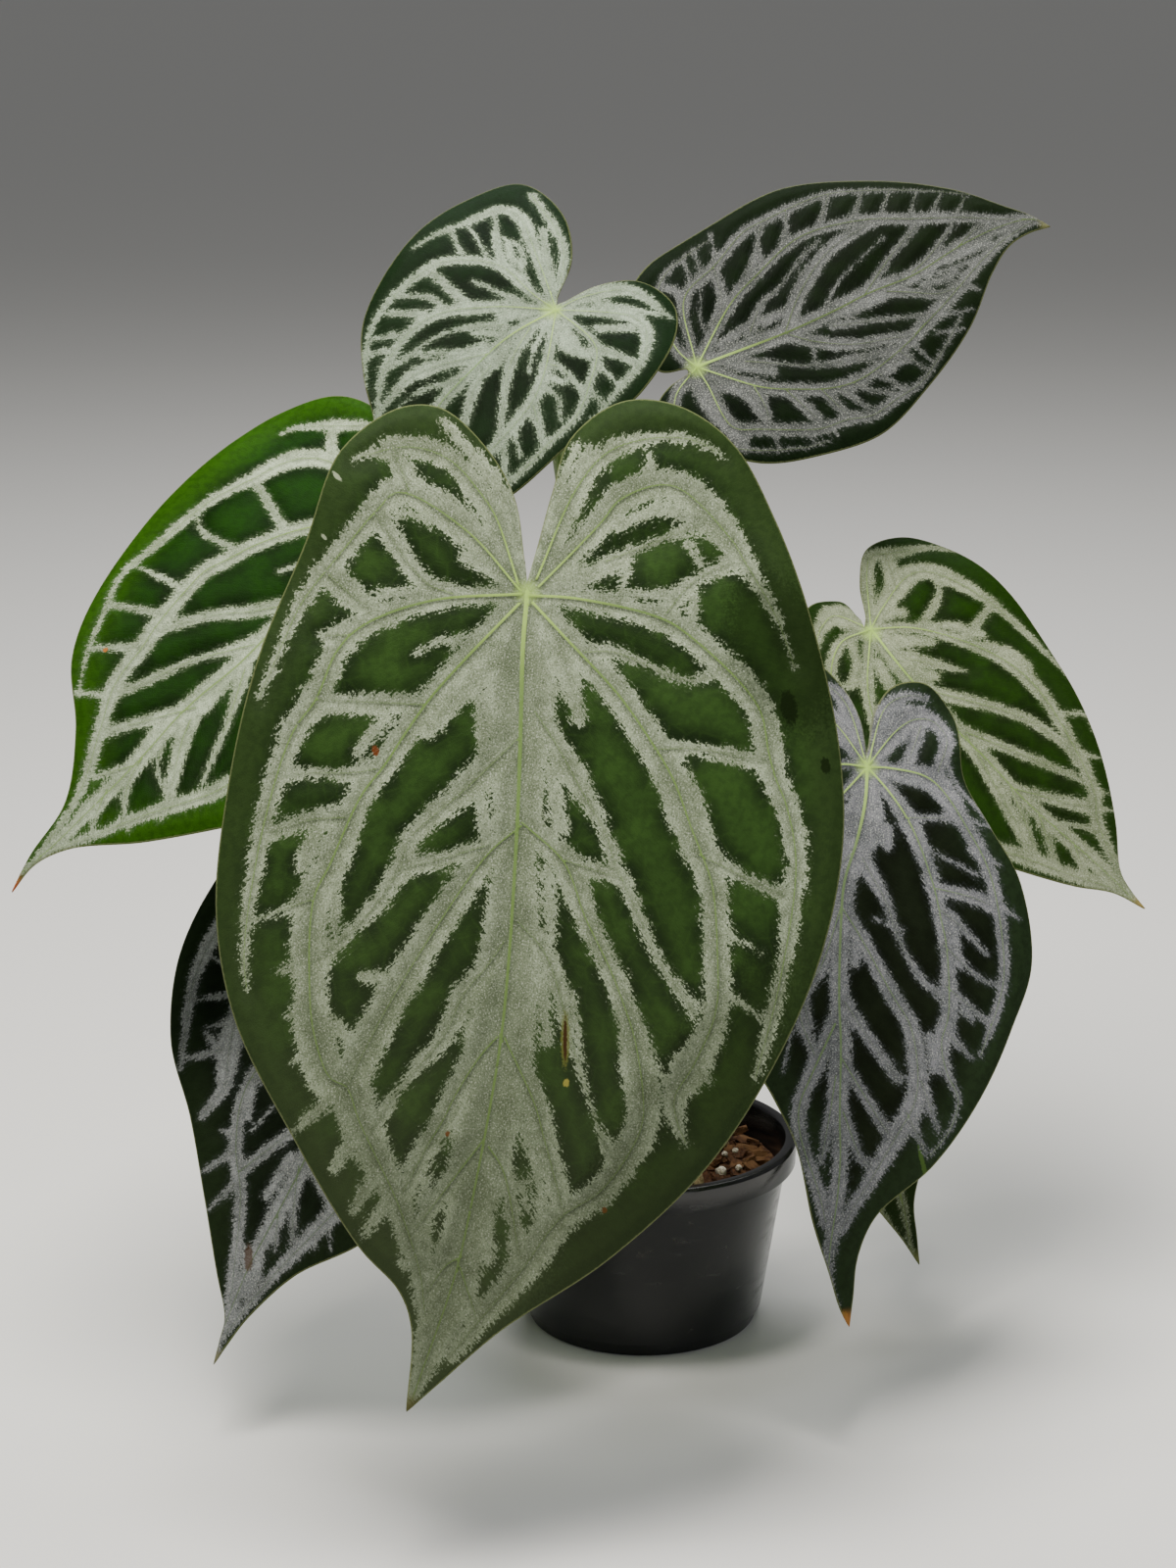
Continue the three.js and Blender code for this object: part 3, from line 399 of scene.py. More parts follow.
        ("wisp", (1, 0.2), [(41, -35), (45, -42)]),
        ("wisp", (0.6, 1.2), [(47, -41), (50, -35)]),
        ("second", (1.5, 0.6), [(74, -19), (74, -23)]),
        ("second", (1.2, 0.4), [(79, -17), (89, -25)]),
        ("second", (1.3, 0.3), [(88, -13), (98, -18)]),
        ("lateral", (1.7, 2.1), [(84, -13), (73, -6), (60, 3)]),
        ("second", (0.8, 1.1), [(55, -20), (54, -7), (50, 3)]),
        ("wisp", (0.3, 0.5), [(71, -14), (61, -10)]),
        ("wisp", (2.3, 1.4), [(75, 1), (88, -2)]),
        ("wisp", (2.2, 1.9), [(108, 2), (113, 3), (118, 2)]),
        ("lateral", (1.8, 0.8), [(24, 5), (34, -8), (41, -14)]),
        ("basal", (1.9, 1.7, 2.8, 1), [(0, 0), (16, 12), (34, 19), (68, 23), (81, 22), (95, 16),
            (107, 10), (121, 4), (133, 0)]),
        ("basal", (1.6, 0.6), [(0, 0), (3, 16), (15, 30), (31, 37), (49, 38), (66, 33), (79, 28)]),
        ("lobe", (1.8, 0.3), [(0, 0), (-12, 6), (-16, 19), (-9, 33), (6, 41), (25, 44)]),
        ("second", (1, 0.3), [(15, 30), (10, 42)]),
        ("second", (1.2, 0.9), [(28, 17), (26, 26), (26, 34)]),
        ("second", (1.2, 0.6), [(50, 23), (49, 38)]),
        ("lateral", (1.7, 1.4), [(58, 5), (83, 21)]),
        ("lateral", (1.5, 0.9), [(76, 4), (91, 8), (99, 11)]),
        ("lateral", (1.5, 0.4), [(91, 3), (103, 6)]),
        ("second", (1.7, 1), [(34, 6), (50, 21)]),
        ("second", (1.6, 1.9), [(75, 8), (86, 22)]),
        ("wisp", (0.6, 0.3), [(89, 20), (97, 24)]),
        ("wisp", (0.6, 0.2), [(95, 17), (98, 19)]),
        ("wisp", (1.7, 1.4), [(55, -20), (67, -17)]),
        ("wisp", (1.2, 1), [(106, -4), (110, -1)]),
    ],
    "right": [
        ("midrib", (2.3, 4.2, 3.3, 3, 2.3, 3.1, 3.5, 1), [(-1, 1), (20, -4), (45, -7), (57, -7),
            (80, -7), (111, -2), (123, -1), (130, -2)]),
        ("basal", (2.1, 2.4, 2.9, 2, 2.4, 1.5), [(-1, 1), (8, 11), (21, 19), (33, 24), (42, 26),
            (52, 26), (69, 22), (92, 14), (100, 8), (125, 1)]),
        ("lateral", (2.7, 1.5), [(28, -3), (57, 14), (74, 18), (80, 17)]),
        ("second", (3.4, 0.3), [(15, 1), (32, 12)]),
        ("lateral", (2.4, 1.2), [(48, -5), (65, 4), (86, 14)]),
        ("lateral", (2.1, 2.4), [(73, -7), (90, 6), (95, 10)]),
        ("second", (0.9, 0.9), [(91, -5), (95, 1), (104, 7)]),
        ("lobe", (2.1, 4.2, 3.9, 1.9, 1.7, 0.5), [(-1, 1), (-4, 10), (-7, 27), (-4, 33), (13, 39),
            (30, 41), (49, 40), (59, 39)]),
        ("lobe", (2, 2.7, 2.5, 0.9), [(-1, 1), (-19, 19), (-21, 24), (-17, 31), (-10, 44), (-4, 48)]),
        ("second", (2.6, 3.1), [(-18, 28), (-7, 20)]),
        ("second", (0.9, 1.9), [(2, 32), (6, 27), (10, 14)]),
        ("second", (1.2, 1.8), [(20, 41), (23, 23)]),
        ("wisp", (3.7, 2), [(6, 1), (16, 11)]),
        ("wisp", (1.2, 0.6), [(64, 24), (71, 32), (76, 30)]),
        ("wisp", (1, 0.3), [(80, 20), (85, 25)]),
        ("wisp", (1, 0.3), [(92, 15), (95, 18)]),
        ("wisp", (0.7, 0.3), [(97, 11), (101, 16)]),
        ("basal", (2.2, 1.9, 1.6, 1.5, 2.9, 2.2), [(-1, 1), (-4, -11), (3, -24), (11, -28), (23, -35),
            (42, -40), (61, -40), (77, -33), (89, -24), (106, -13), (113, -8), (121, -2)]),
        ("lobe", (2.4, 5.9, 2.3, 1.6, 0.8, 0.7), [(-1, 1), (-13, -4), (-13, -10), (-10, -17),
            (-4, -29), (7, -35)]),
        ("basal", (2.4, 1.4), [(-1, 1), (14, -18), (24, -26), (37, -33), (55, -37), (71, -34), (84, -26)]),
        ("second", (0.8, 1.3), [(9, -22), (12, -16)]),
        ("lateral", (2.6, 0.8, 1.1), [(24, -6), (44, -21), (73, -32)]),
        ("lateral", (3.2, 2.1), [(49, -6), (69, -12), (87, -17), (93, -19)]),
        ("lateral", (1.3, 0.9), [(72, -8), (94, -17)]),
        ("lateral", (1.8, 1), [(85, -7), (100, -14)]),
        ("lateral", (2.2, 1.8), [(100, -4), (109, -8)]),
        ("wisp", (3.2, 2), [(-2, 9), (2, 13)]),
        ("wisp", (2, 1.7), [(12, 15), (17, 22), (26, 27)]),
        ("wisp", (2.3, 2.8), [(31, 25), (38, 29), (44, 29)]),
        ("wisp", (3.7, 1.5), [(22, -1), (27, 3)]),
        ("wisp", (2.4, 2.1), [(10, -8), (23, -14)]),
        ("wisp", (1.8, 1.4), [(-2, -8), (6, -15), (10, -22)]),
    ],
    "low_right": [
        ("midrib", (2.3, 8, 3.8, 3.3, 3.2, 3.6, 2.1, 3, 2.2, 0.7), [(0, 0), (12, -1), (25, -4),
            (38, -8), (51, -9), (75, -9), (87, -8), (112, -7), (124, -6), (136, -6), (160, -7),
            (169, -4)]),
        ("basal", (2.2, 3.4, 2.5, 2.2, 2.7, 2.8, 0.8, 0.5), [(0, 0), (8, 7), (19, 14), (38, 21),
            (47, 23), (56, 25), (78, 26), (87, 24), (96, 26), (104, 30), (113, 28), (122, 22)]),
        ("lateral", (2.6, 2.7, 3.5, 1.7), [(46, -9), (56, -2), (74, 9), (82, 14), (98, 17), (107, 16),
            (115, 12), (131, 4), (138, 0), (146, -4)]),
        ("lateral", (1.8, 1.9), [(94, -7), (116, 9)]),
        ("second", (2.5, 1.5), [(76, -7), (84, -1), (99, 11)]),
        ("lateral", (2, 1.1), [(110, -6), (124, 1), (126, 4)]),
        ("second", (3.1, 0.9, 1.4), [(30, -2), (44, 6), (53, 9), (67, 17), (72, 23)]),
        ("wisp", (0.5, 0.6), [(49, 2), (52, 11)]),
        ("wisp", (2.9, 1.3), [(21, 5), (26, 6)]),
        ("basal", (1.7, 2.4, 4.5, 2.6, 2.7, 2.4, 2.1, 1.9, 1.8, 0.5), [(0, 0), (0, 8), (3, 21),
            (18, 32), (33, 40), (61, 45), (70, 44), (90, 37)]),
        ("second", (1.5, 1.2), [(16, 12), (15, 26)]),
        ("lateral", (2, 2.6), [(38, 20), (40, 33), (42, 40)]),
        ("wisp", (0.4, 0.6), [(26, 20), (33, 35)]),
        ("second", (1.7, 0.8), [(45, 23), (49, 29), (58, 39)]),
        ("second", (1.2, 0.9), [(56, 24), (66, 37), (67, 43)]),
        ("second", (1.2, 0.8), [(69, 25), (74, 32), (80, 40)]),
        ("second", (2, 0.6), [(83, 25), (91, 34)]),
        ("second", (1.8, 0.9), [(99, 18), (114, 24)]),
        ("second", (1.9, 0.5), [(109, 14), (122, 21)]),
        ("lobe", (2.1, 4.7, 2.7, 2.1), [(0, 0), (-13, 10), (-17, 16), (-17, 22), (-12, 26), (0, 23)]),
        ("lobe", (1.8, 2.7, 0.9), [(0, 0), (-21, 7), (-25, 15), (-24, 20)]),
        ("second", (1.9, 2.2), [(-15, 18), (-2, 13)]),
        ("wisp", (1, 0.5), [(-3, 26), (3, 29), (19, 43)]),
        ("wisp", (0.9, 0.6), [(14, 26), (17, 38)]),
        ("wisp", (1, 0.3), [(25, 33), (29, 43)]),
        ("wisp", (1, 0.3), [(41, 42), (46, 50)]),
        ("basal", (1.9, 1.6), [(0, 0), (20, -16), (50, -27), (82, -21), (93, -16)]),
        ("lateral", (2.3, 1.2), [(46, -9), (65, -15), (75, -20), (85, -18)]),
        ("basal", (2.8, 2.2), [(83, -10), (100, -17), (109, -20), (118, -19), (135, -12), (144, -9)]),
        ("second", (2.5, 0.6), [(29, -6), (37, -13), (45, -21), (54, -27)]),
        ("basal", (1.6, 0.4), [(0, 0), (0, -9), (4, -20), (13, -31), (26, -36), (62, -40), (80, -36)]),
        ("lobe", (2.2, 4.8, 1, 1, 0.6), [(0, 0), (-14, -11), (-18, -19), (-15, -29), (9, -40)]),
        ("lobe", (1.7, 3.6, 0.7), [(0, 0), (-19, -6), (-25, -11), (-28, -18)]),
        ("second", (0.9, 1.2), [(13, -31), (19, -24), (20, -16)]),
        ("second", (0.6, 1.3), [(31, -38), (35, -24)]),
        ("second", (0.6, 1.2), [(50, -40), (52, -33), (52, -27)]),
        ("second", (0.3, 0.9), [(80, -36), (73, -24)]),
        ("wisp", (0.7, 0.3), [(65, -13), (79, -22), (99, -26)]),
        ("lateral", (2.1, 1.2), [(99, -9), (109, -10), (126, -12)]),
        ("wisp", (1.8, 1.5), [(-20, 7), (-20, 18)]),
        ("wisp", (1.9, 1.6), [(2, 6), (5, 18)]),
        ("wisp", (2.2, 1.9), [(86, 21), (95, 22)]),
        ("wisp", (1.9, 1.3), [(58, -4), (64, -4)]),
        ("wisp", (1.5, 1.2), [(47, 27), (62, 29)]),
        ("wisp", (1.3, 1), [(76, 31), (79, 34)]),
    ],
    "low_back": [
        ("midrib", (1.6, 2.3, 0.7), [(0, 0), (18, -3), (35, -5), (51, -5), (66, -4), (79, -2), (96, -2)]),
        ("basal", (1.5, 0.9), [(0, 0), (23, -17), (37, -20), (65, -15), (88, -5)]),
        ("basal", (1.5, 1), [(0, 0), (11, 6), (26, 8), (53, 2), (66, -2), (79, -2)]),
        ("lobe", (1.2, 0.3), [(0, 0), (-6, -6), (-6, -13), (3, -19), (19, -23), (33, -23)]),
        ("lobe", (1.2, 0.4), [(0, 0), (-6, 9), (-6, 18), (3, 21), (20, 19), (37, 14)]),
        ("lateral", (1.3, 0.9), [(21, -3), (31, -10), (44, -18)]),
        ("lateral", (1.4, 1), [(32, -4), (56, 1)]),
        ("lateral", (1.3, 0.7), [(51, -5), (59, -12), (67, -14)]),
        ("second", (0.7, 0.5), [(23, -17), (25, -20)]),
        ("second", (1.1, 0.6), [(26, 8), (28, 13)]),
        ("second", (1.1, 1.1), [(59, -5), (68, -3)]),
    ],
}

# For each kind of vein: half the width of its pale line at the start and how far it stands up, both
# on the longest blade, and how deep its rib is below. A wisp is silver alone.
VEIN_KINDS = {
    "midrib": (0.72, 1.0, 1.4),
    "basal": (0.46, 0.75, 0.95),
    "lobe": (0.37, 0.6, 0.75),
    "lateral": (0.3, 0.55, 0.55),
    "second": (0.15, 0.35, 0.28),
    "wisp": (0.0, 0.0, 0.0),
}
# A vein loses this share of its width by its end, and on a smaller blade it is thinner, by this power
# of the blade's length. Its ridge above and its rib below are so many times wider than its line.
VEIN_TAPER = 0.68
VEIN_SHRINK = 0.6
RIDGE_WIDTH = 1.1
RIB_WIDTH = 1.5
RIB_MARGIN = 0.25
# How softly silver bands melt into each other, how far from its vein a band still counts, the step
# along a vein, and what a point has that no vein is near.
BAND_BLEND = 0.7
BAND_REACH = 14.0
BAND_STEP = 2.0
NO_VEIN = -4.0
FAR_AWAY = 40.0
# How high the skin swells between the veins and within what distance of one; how far in from the
# margin the swelling and the ribs reach their full height; and how round the edge is.
QUILT_HEIGHT = 1.1
QUILT_WIDTH = 4.2
QUILT_SHRINK = 0.5
UPPER_FADE = 4
LOWER_FADE = 3
RIM_BULGE = 0.2
# The mesh: the outline's step, the bottom of the notch, the points on either side of a vein, how
# close points may come, and from where on the tip curls.
OUTLINE_STEP = 0.8
NOTCH = (-2.5, -0.4)
CURVE_SAMPLES = 12
LEAST_FLANK = 0.42
FLANK_SHARE = 1.3
VEIN_GAP = 0.36
OUTLINE_GAP = 0.5
LATTICE_GAP = 0.55
ROW_HEIGHT = 0.866
TIP_START = 0.8
# The side veins run off at this slope; in the lobes behind the stalk they fan out instead.
SIDE_VEIN_SLOPE = 0.9
SIDE_VEIN_STRETCH = 1.345
LOBE_FAN = 40


# Small helpers

def linear(hex_colour):
    """An sRGB hex colour as linear red, green, blue and alpha."""
    channels = [int(hex_colour[i:i + 2], 16) / 255 for i in (1, 3, 5)]
    return [c / 12.92 if c <= 0.04045 else ((c + 0.055) / 1.055) ** 2.4 for c in channels] + [1.0]


def add_node(tree, kind, inputs=None, **settings):
    """A new node with its settings, and its inputs set or linked."""
    node = tree.nodes.new(kind)
    for name, value in settings.items():
        setattr(node, name, value)
    for socket, value in (inputs or {}).items():
        if isinstance(value, bpy.types.NodeSocket):
            tree.links.new(value, node.inputs[socket])
        else:
            node.inputs[socket].default_value = value
    return node


def new_material(name):
    """An empty material, its tree and its Principled shader."""
    material = bpy.data.materials.new(name)
    material.use_nodes = True
    tree = material.node_tree
    tree.nodes.clear()
    shader = add_node(tree, "ShaderNodeBsdfPrincipled")
    add_node(tree, "ShaderNodeOutputMaterial", {"Surface": shader.outputs[0]})
    return material, tree, shader


def deselect():
    """No object is selected."""
    for item in bpy.context.selected_objects:
        item.select_set(False)


def choose(piece):
    """The piece alone is selected and active."""
    deselect()
    piece.select_set(True)
    bpy.context.view_layer.objects.active = piece


def seat(piece, node, slot, *materials):
    """The finished piece rides on the plant and stands for its CAD node."""
    for material in materials:
        piece.data.materials.append(material)
    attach(piece, "root")
    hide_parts(node)
    return piece


def smooth_step(low, high, value):
    """0 up to low and 1 from high on, with a soft rise between."""
    t = np.clip((value - low) / (high - low), 0, 1)
    return t * t * (3 - 2 * t)


def smooth_line(points, step):
    """Points along a centripetal Catmull-Rom curve through the given ones, step apart."""
    given = [np.array(p, float) for p in points]
    if len(given) == 2:
        given.insert(1, (given[0] + given[1]) / 2)
    ends = [2 * given[0] - given[1], *given, 2 * given[-1] - given[-2]]
    fine = []
    for p0, p1, p2, p3 in zip(ends, ends[1:], ends[2:], ends[3:]):
        knots = np.cumsum([0] + [max(np.linalg.norm(b - a) ** 0.5, 1e-3)
                                 for a, b in ((p0, p1), (p1, p2), (p2, p3))])
        k0, k1, k2, k3 = knots
        for t in np.linspace(k1, k2, CURVE_SAMPLES, endpoint=False):
            a1 = (k1 - t) / (k1 - k0) * p0 + (t - k0) / (k1 - k0) * p1
            a2 = (k2 - t) / (k2 - k1) * p1 + (t - k1) / (k2 - k1) * p2
            a3 = (k3 - t) / (k3 - k2) * p2 + (t - k2) / (k3 - k2) * p3
            b1 = (k2 - t) / (k2 - k0) * a1 + (t - k0) / (k2 - k0) * a2
            b2 = (k3 - t) / (k3 - k1) * a2 + (t - k1) / (k3 - k1) * a3
            fine.append((k2 - t) / (k2 - k1) * b1 + (t - k1) / (k2 - k1) * b2)
    fine.append(given[-1])
    fine = np.array(fine)
    run = np.concatenate([[0], np.cumsum(np.linalg.norm(np.diff(fine, axis=0), axis=1))])
    count = max(2, int(round(run[-1] / step)) + 1)
    places = np.linspace(0, run[-1], count)
    return np.stack([np.interp(places, run, fine[:, k]) for k in range(fine.shape[1])], 1)


# Leaf blades

class Blade:
    """One blade's frame and surface, with the same formula as its solid has."""

    def __init__(self, name):
        self.leaf = LEAVES[name]
        self.junction = np.array(self.leaf["junction"], float)
        down = np.array(self.leaf["tip"], float) - self.junction
        self.length = float(np.linalg.norm(down))
        self.vein_scale = (self.length / LONGEST_BLADE) ** VEIN_SHRINK
        self.down = down / self.length
        face = np.array(self.leaf["face"], float)
        face -= (face @ self.down) * self.down
        self.face = face / np.linalg.norm(face)
        self.across = np.cross(self.face, self.down)
        self.half_width = max(max(p[1] for p in self.leaf["right"]),
                              max(-p[1] for p in self.leaf["left"]))
        tip = [(self.length, 0)]
        self.left_side = smooth_line(self.leaf["left"] + tip, OUTLINE_STEP)
        self.right_side = smooth_line(self.leaf["right"] + tip, OUTLINE_STEP)
        edge = np.vstack([self.left_side, self.right_side[::-1][1:]])
        bearing = np.arctan2(edge[:, 1], edge[:, 0])
        order = np.argsort(bearing)
        self.edge_bearing = bearing[order]
        self.edge_radius = np.hypot(edge[order, 0], edge[order, 1])

    def share(self, along, across):
        """0 at the stalk and 1 at the margin."""
        radius = np.interp(np.arctan2(across, along), self.edge_bearing, self.edge_radius)
        return np.minimum(1, np.hypot(along, across) / radius)

    def height(self, along, across):
        """How far the middle of the sheet stands out, in millimetres."""
        leaf = self.leaf
        t = along / self.length
        middle = leaf["bow"] * np.sin(np.pi * np.clip(t, 0, 1))
        u = (across - middle) / self.half_width
        arch = leaf["arch"] * 4 * t * (1 - t)
        valley = leaf["swell"] * self.half_width * (np.hypot(u, VALLEY_SHARE) - VALLEY_SHARE)
        roll = leaf["roll"] * self.half_width * u * u
        bearing = np.arctan2(across, along)
        wave = leaf["wave"] * self.share(along, across) ** 3 * np.sin(
            leaf["waves"] * bearing + self.length)
        end = np.maximum(0, (t - TIP_START) / (1 - TIP_START))
        return arch + valley - roll + wave + leaf["tip_curl"] * end * end

    def place(self, along, across, height):
        """Points in millimetres in the plant's own frame."""
        return (self.junction + np.outer(along, self.down) + np.outer(across, self.across)
                + np.outer(height, self.face))


def inside(points, outline):
    """Which of the points lie inside the closed outline."""
    within = np.zeros(len(points), bool)
    x, y = points[:, 0], points[:, 1]
    for (x1, y1), (x2, y2) in zip(outline, np.roll(outline, -1, axis=0)):
        if y1 == y2:
            continue
        crosses = (y1 > y) != (y2 > y)
        within ^= crosses & (x < (x2 - x1) * (y - y1) / (y2 - y1) + x1)
    return within


def distance_to_line(points, line):
    """The distance of each point to a line of points, and how far along it the nearest place is."""
    start, step = line[:-1], np.diff(line, axis=0)
    squared = np.maximum((step ** 2).sum(1), 1e-9)
    offset = points[:, None, :] - start[None, :, :]
    t = np.clip((offset * step).sum(2) / squared, 0, 1)
    gap = np.linalg.norm(offset - t[:, :, None] * step, axis=2)
    nearest = gap.argmin(1)
    rows = np.arange(len(points))
    return gap[rows, nearest], (nearest + t[rows, nearest]) / len(step)


def distance_to_points(places, points):
    """The distance of each point to the nearest of some places."""
    tree = kdtree.KDTree(len(places))
    for i, p in enumerate(places):
        tree.insert((p[0], p[1], 0), i)
    tree.balance()
    return np.array([tree.find((p[0], p[1], 0))[2] for p in points])


def keep_apart(points, taken, spacing):
    """The points that lie further than spacing from every taken one."""
    return points[distance_to_points(taken, points) > spacing]


def thinned(points, spacing):
    """Points no closer than spacing to each other, the first ones kept."""
    cells, kept = {}, []
    for p in points:
        i, j = int(p[0] // spacing), int(p[1] // spacing)
        near = (q for di in (-1, 0, 1) for dj in (-1, 0, 1) for q in cells.get((i + di, j + dj), ()))
        if all((p[0] - q[0]) ** 2 + (p[1] - q[1]) ** 2 > spacing ** 2 for q in near):
            cells.setdefault((i, j), []).append(p)
            kept.append(p)
    return np.array(kept)


def flat_mesh(blade, veins, grid):
    """The blade's flat outline cut into triangles, finest along the veins."""
    outline = np.vstack([[NOTCH], blade.left_side, blade.right_side[::-1][1:]])
    rows = []
    for kind, _, through in veins:
        line = smooth_line(through, grid)
        heading = np.gradient(line, axis=0)
        heading /= np.maximum(np.linalg.norm(heading, axis=1), 1e-6)[:, None]
        sideways = np.stack([-heading[:, 1], heading[:, 0]], 1)
        flank = max(LEAST_FLANK, VEIN_KINDS[kind][0] * blade.vein_scale * FLANK_SHARE)
        rows.append((kind == "wisp", [line, line + sideways * flank, line - sideways * flank]))
    rows.sort(key=lambda row: row[0])
    centres = np.vstack([lines[0] for _, lines in rows])
    flanks = np.vstack([line for wisp, lines in rows if not wisp for line in lines[1:]])
    vein_points = thinned(np.vstack([centres, flanks]), VEIN_GAP)
    vein_points = vein_points[inside(vein_points, outline)]
    vein_points = keep_apart(vein_points, outline, OUTLINE_GAP)
    low, high = outline.min(0), outline.max(0)
    steps = np.arange(low[0], high[0], grid * ROW_HEIGHT)
    lattice = [(x, y) for i, x in enumerate(steps)
               for y in np.arange(low[1] + (i % 2) * grid / 2, high[1], grid)]
    lattice = np.array(lattice)
    lattice = lattice[inside(lattice, outline)]
    lattice = keep_apart(lattice, np.vstack([outline, vein_points]), grid * LATTICE_GAP)
    flat = np.vstack([outline, vein_points, lattice])
    count = len(outline)
    border = [(i, (i + 1) % count) for i in range(count)]
    result = delaunay_2d_cdt([Vector(p) for p in flat], border, [], 1, 1e-5)
    points = np.array([tuple(p) for p in result[0]])
    triangles = np.array([f for f in result[2] if len(f) == 3])
    first = {source: i for i, sources in enumerate(result[3]) for source in sources}
    rim = np.array([first[i] for i in range(count)])
    return points, triangles, rim


def vein_fields(blade, veins, points):
    """For each point: how deep in silver it is, how deep in a vein's pale line, how far the veins
    stand up there and below, and how far the nearest vein is."""
    scale = blade.vein_scale
    silver = np.full(len(points), math.exp(-BAND_REACH / BAND_BLEND))
    line = np.full(len(points), NO_VEIN)
    ridge = np.zeros(len(points))
    rib = np.zeros(len(points))
    nearest = np.full(len(points), FAR_AWAY)
    for kind, bands, through in veins:
        path = smooth_line(through, BAND_STEP)
        low, high = path.min(0) - BAND_REACH, path.max(0) + BAND_REACH
        near = np.flatnonzero(((points > low) & (points < high)).all(1))
        gap, run = distance_to_line(points[near], path)
        band = np.interp(run, np.linspace(0, 1, len(bands)), bands)
        silver[near] += np.exp(np.clip((band - gap) / BAND_BLEND, -20, 20))
        half, rise, depth = VEIN_KINDS[kind]
        if not half:
            continue
        taper = 1 - VEIN_TAPER * run
        width = half * scale * taper
        line[near] = np.maximum(line[near], width - gap)
        crest = np.exp(-(gap / (width * RIDGE_WIDTH)) ** 2)
        ridge[near] = np.maximum(ridge[near], rise * scale * taper * crest)
        deep = np.exp(-(gap / (width * RIB_WIDTH + RIB_MARGIN)) ** 2)
        rib[near] = np.maximum(rib[near], depth * scale * taper * deep)
        nearest[near] = np.minimum(nearest[near], gap)
    return np.log(silver) * BAND_BLEND, line, ridge, rib, nearest


def streak_vectors(along, across):
    """Where each point lies along and across the run of the side veins, for streaks in the silver."""
    side = np.abs(across)
    start = along - SIDE_VEIN_SLOPE * side
    behind = start < 0
    radius = np.hypot(along, across)
    bearing = np.arctan2(side, along)
    run = np.where(behind, radius, side * SIDE_VEIN_STRETCH)
    row = np.where(behind, -(bearing - math.atan2(1, SIDE_VEIN_SLOPE)) * LOBE_FAN, start)
    return np.stack([run, row, across], 1)


def closed_faces(triangles, rim, count):
    """The upper and lower triangles, and the two rows of quads round the rim between them."""
    after = np.roll(np.arange(len(rim)), -1)
    ring = 2 * count + np.arange(len(rim))
    walls = []
    for i, j in enumerate(after):
        walls.append((rim[i], ring[i], ring[j], rim[j]))
        walls.append((ring[i], count + rim[i], count + rim[j], ring[j]))
    lower = [(count + a, count + c, count + b) for a, b, c in triangles]
    return [tuple(int(k) for k in face) for face in [*triangles, *lower, *walls]]


def outward(outline):
    """The direction that points out of the closed outline at each of its points."""
    heading = np.roll(outline, -1, axis=0) - np.roll(outline, 1, axis=0)
    heading /= np.linalg.norm(heading, axis=1)[:, None]
    return np.stack([heading[:, 1], -heading[:, 0]], 1)


def store(mesh, key, kind, slot, values, rim):
    """Values of the flat points as an attribute of the upper, the lower and the rim points."""
    layer = mesh.attributes.new(key, kind, "POINT")
    stacked = np.concatenate([values, values, values[rim]])
    layer.data.foreach_set(slot, stacked.astype(np.float32).ravel())


def add_blade(name, veins, grid, materials):
    """A closed thin blade with raised veins, and what its skin has to know at each point."""
    blade = Blade(name)
    flat, triangles, rim = flat_mesh(blade, veins, grid)
    along, across = flat[:, 0], flat[:, 1]
    silver, line, ridge, rib, nearest = vein_fields(blade, veins, flat)
    outline = flat[rim]
    margin = distance_to_points(outline, flat)
    quilt = QUILT_HEIGHT * (1 - np.exp(-(nearest / QUILT_WIDTH) ** 2))
    quilt *= (blade.length / LONGEST_BLADE) ** QUILT_SHRINK
    middle = blade.height(along, across) + quilt * smooth_step(0, UPPER_FADE, margin)
    half = BLADE_THICKNESS / 2
    upper = blade.place(along, across, middle + half + ridge)
    lower = blade.place(along, across, middle - half - rib * smooth_step(0, LOWER_FADE, margin))
    bulged = outline + outward(outline) * RIM_BULGE
    side = blade.place(bulged[:, 0], bulged[:, 1], middle[rim])
    points = np.vstack([upper, lower, side]) * MM
    mesh = bpy.data.meshes.new(f"blade_{name}")
    mesh.from_pydata([tuple(p) for p in points], [], closed_faces(triangles, rim, len(flat)))
    mesh.polygons.foreach_set("use_smooth", [True] * len(mesh.polygons))
    slots = np.zeros(len(mesh.polygons), np.int32)
    slots[len(triangles):2 * len(triangles)] = 1
    mesh.polygons.foreach_set("material_index", slots)
    fields = {"silver": silver, "vein": line, "margin": margin,
              "from_tip": np.hypot(along - blade.length, across),
              "from_stalk": np.hypot(along, across)}
    for key, values in fields.items():
        store(mesh, key, "FLOAT", "value", values, rim)
    store(mesh, "streak", "FLOAT_VECTOR", "vector", streak_vectors(along, across), rim)
    plane = np.stack([along, across, np.zeros(len(flat))], 1)
    store(mesh, "plane", "FLOAT_VECTOR", "vector", plane, rim)
    mesh.update()
    piece = bpy.data.objects.new(f"blade_{name}", mesh)
    bpy.context.scene.collection.objects.link(piece)
    return seat(piece, f"leaf_{name}", "leaf_blade", *materials)


# Patterns, laid one over another

def grain(tree, place, size, detail=2.0, roughness=0.5, shift=0.0):
    """Noise from 0 to 1 with lumps of a size in millimetres, or of one size along each axis."""
    sizes = size if isinstance(size, tuple) else (size, size, size)
    scaled = add_node(tree, "ShaderNodeVectorMath", {
        0: place, 1: [1 / s for s in sizes], 2: (shift, shift, shift),
    }, operation="MULTIPLY_ADD").outputs[0]
    return add_node(tree, "ShaderNodeTexNoise", {
        "Vector": scaled, "Scale": 1.0, "Detail": detail, "Roughness": roughness,
    }).outputs[0]


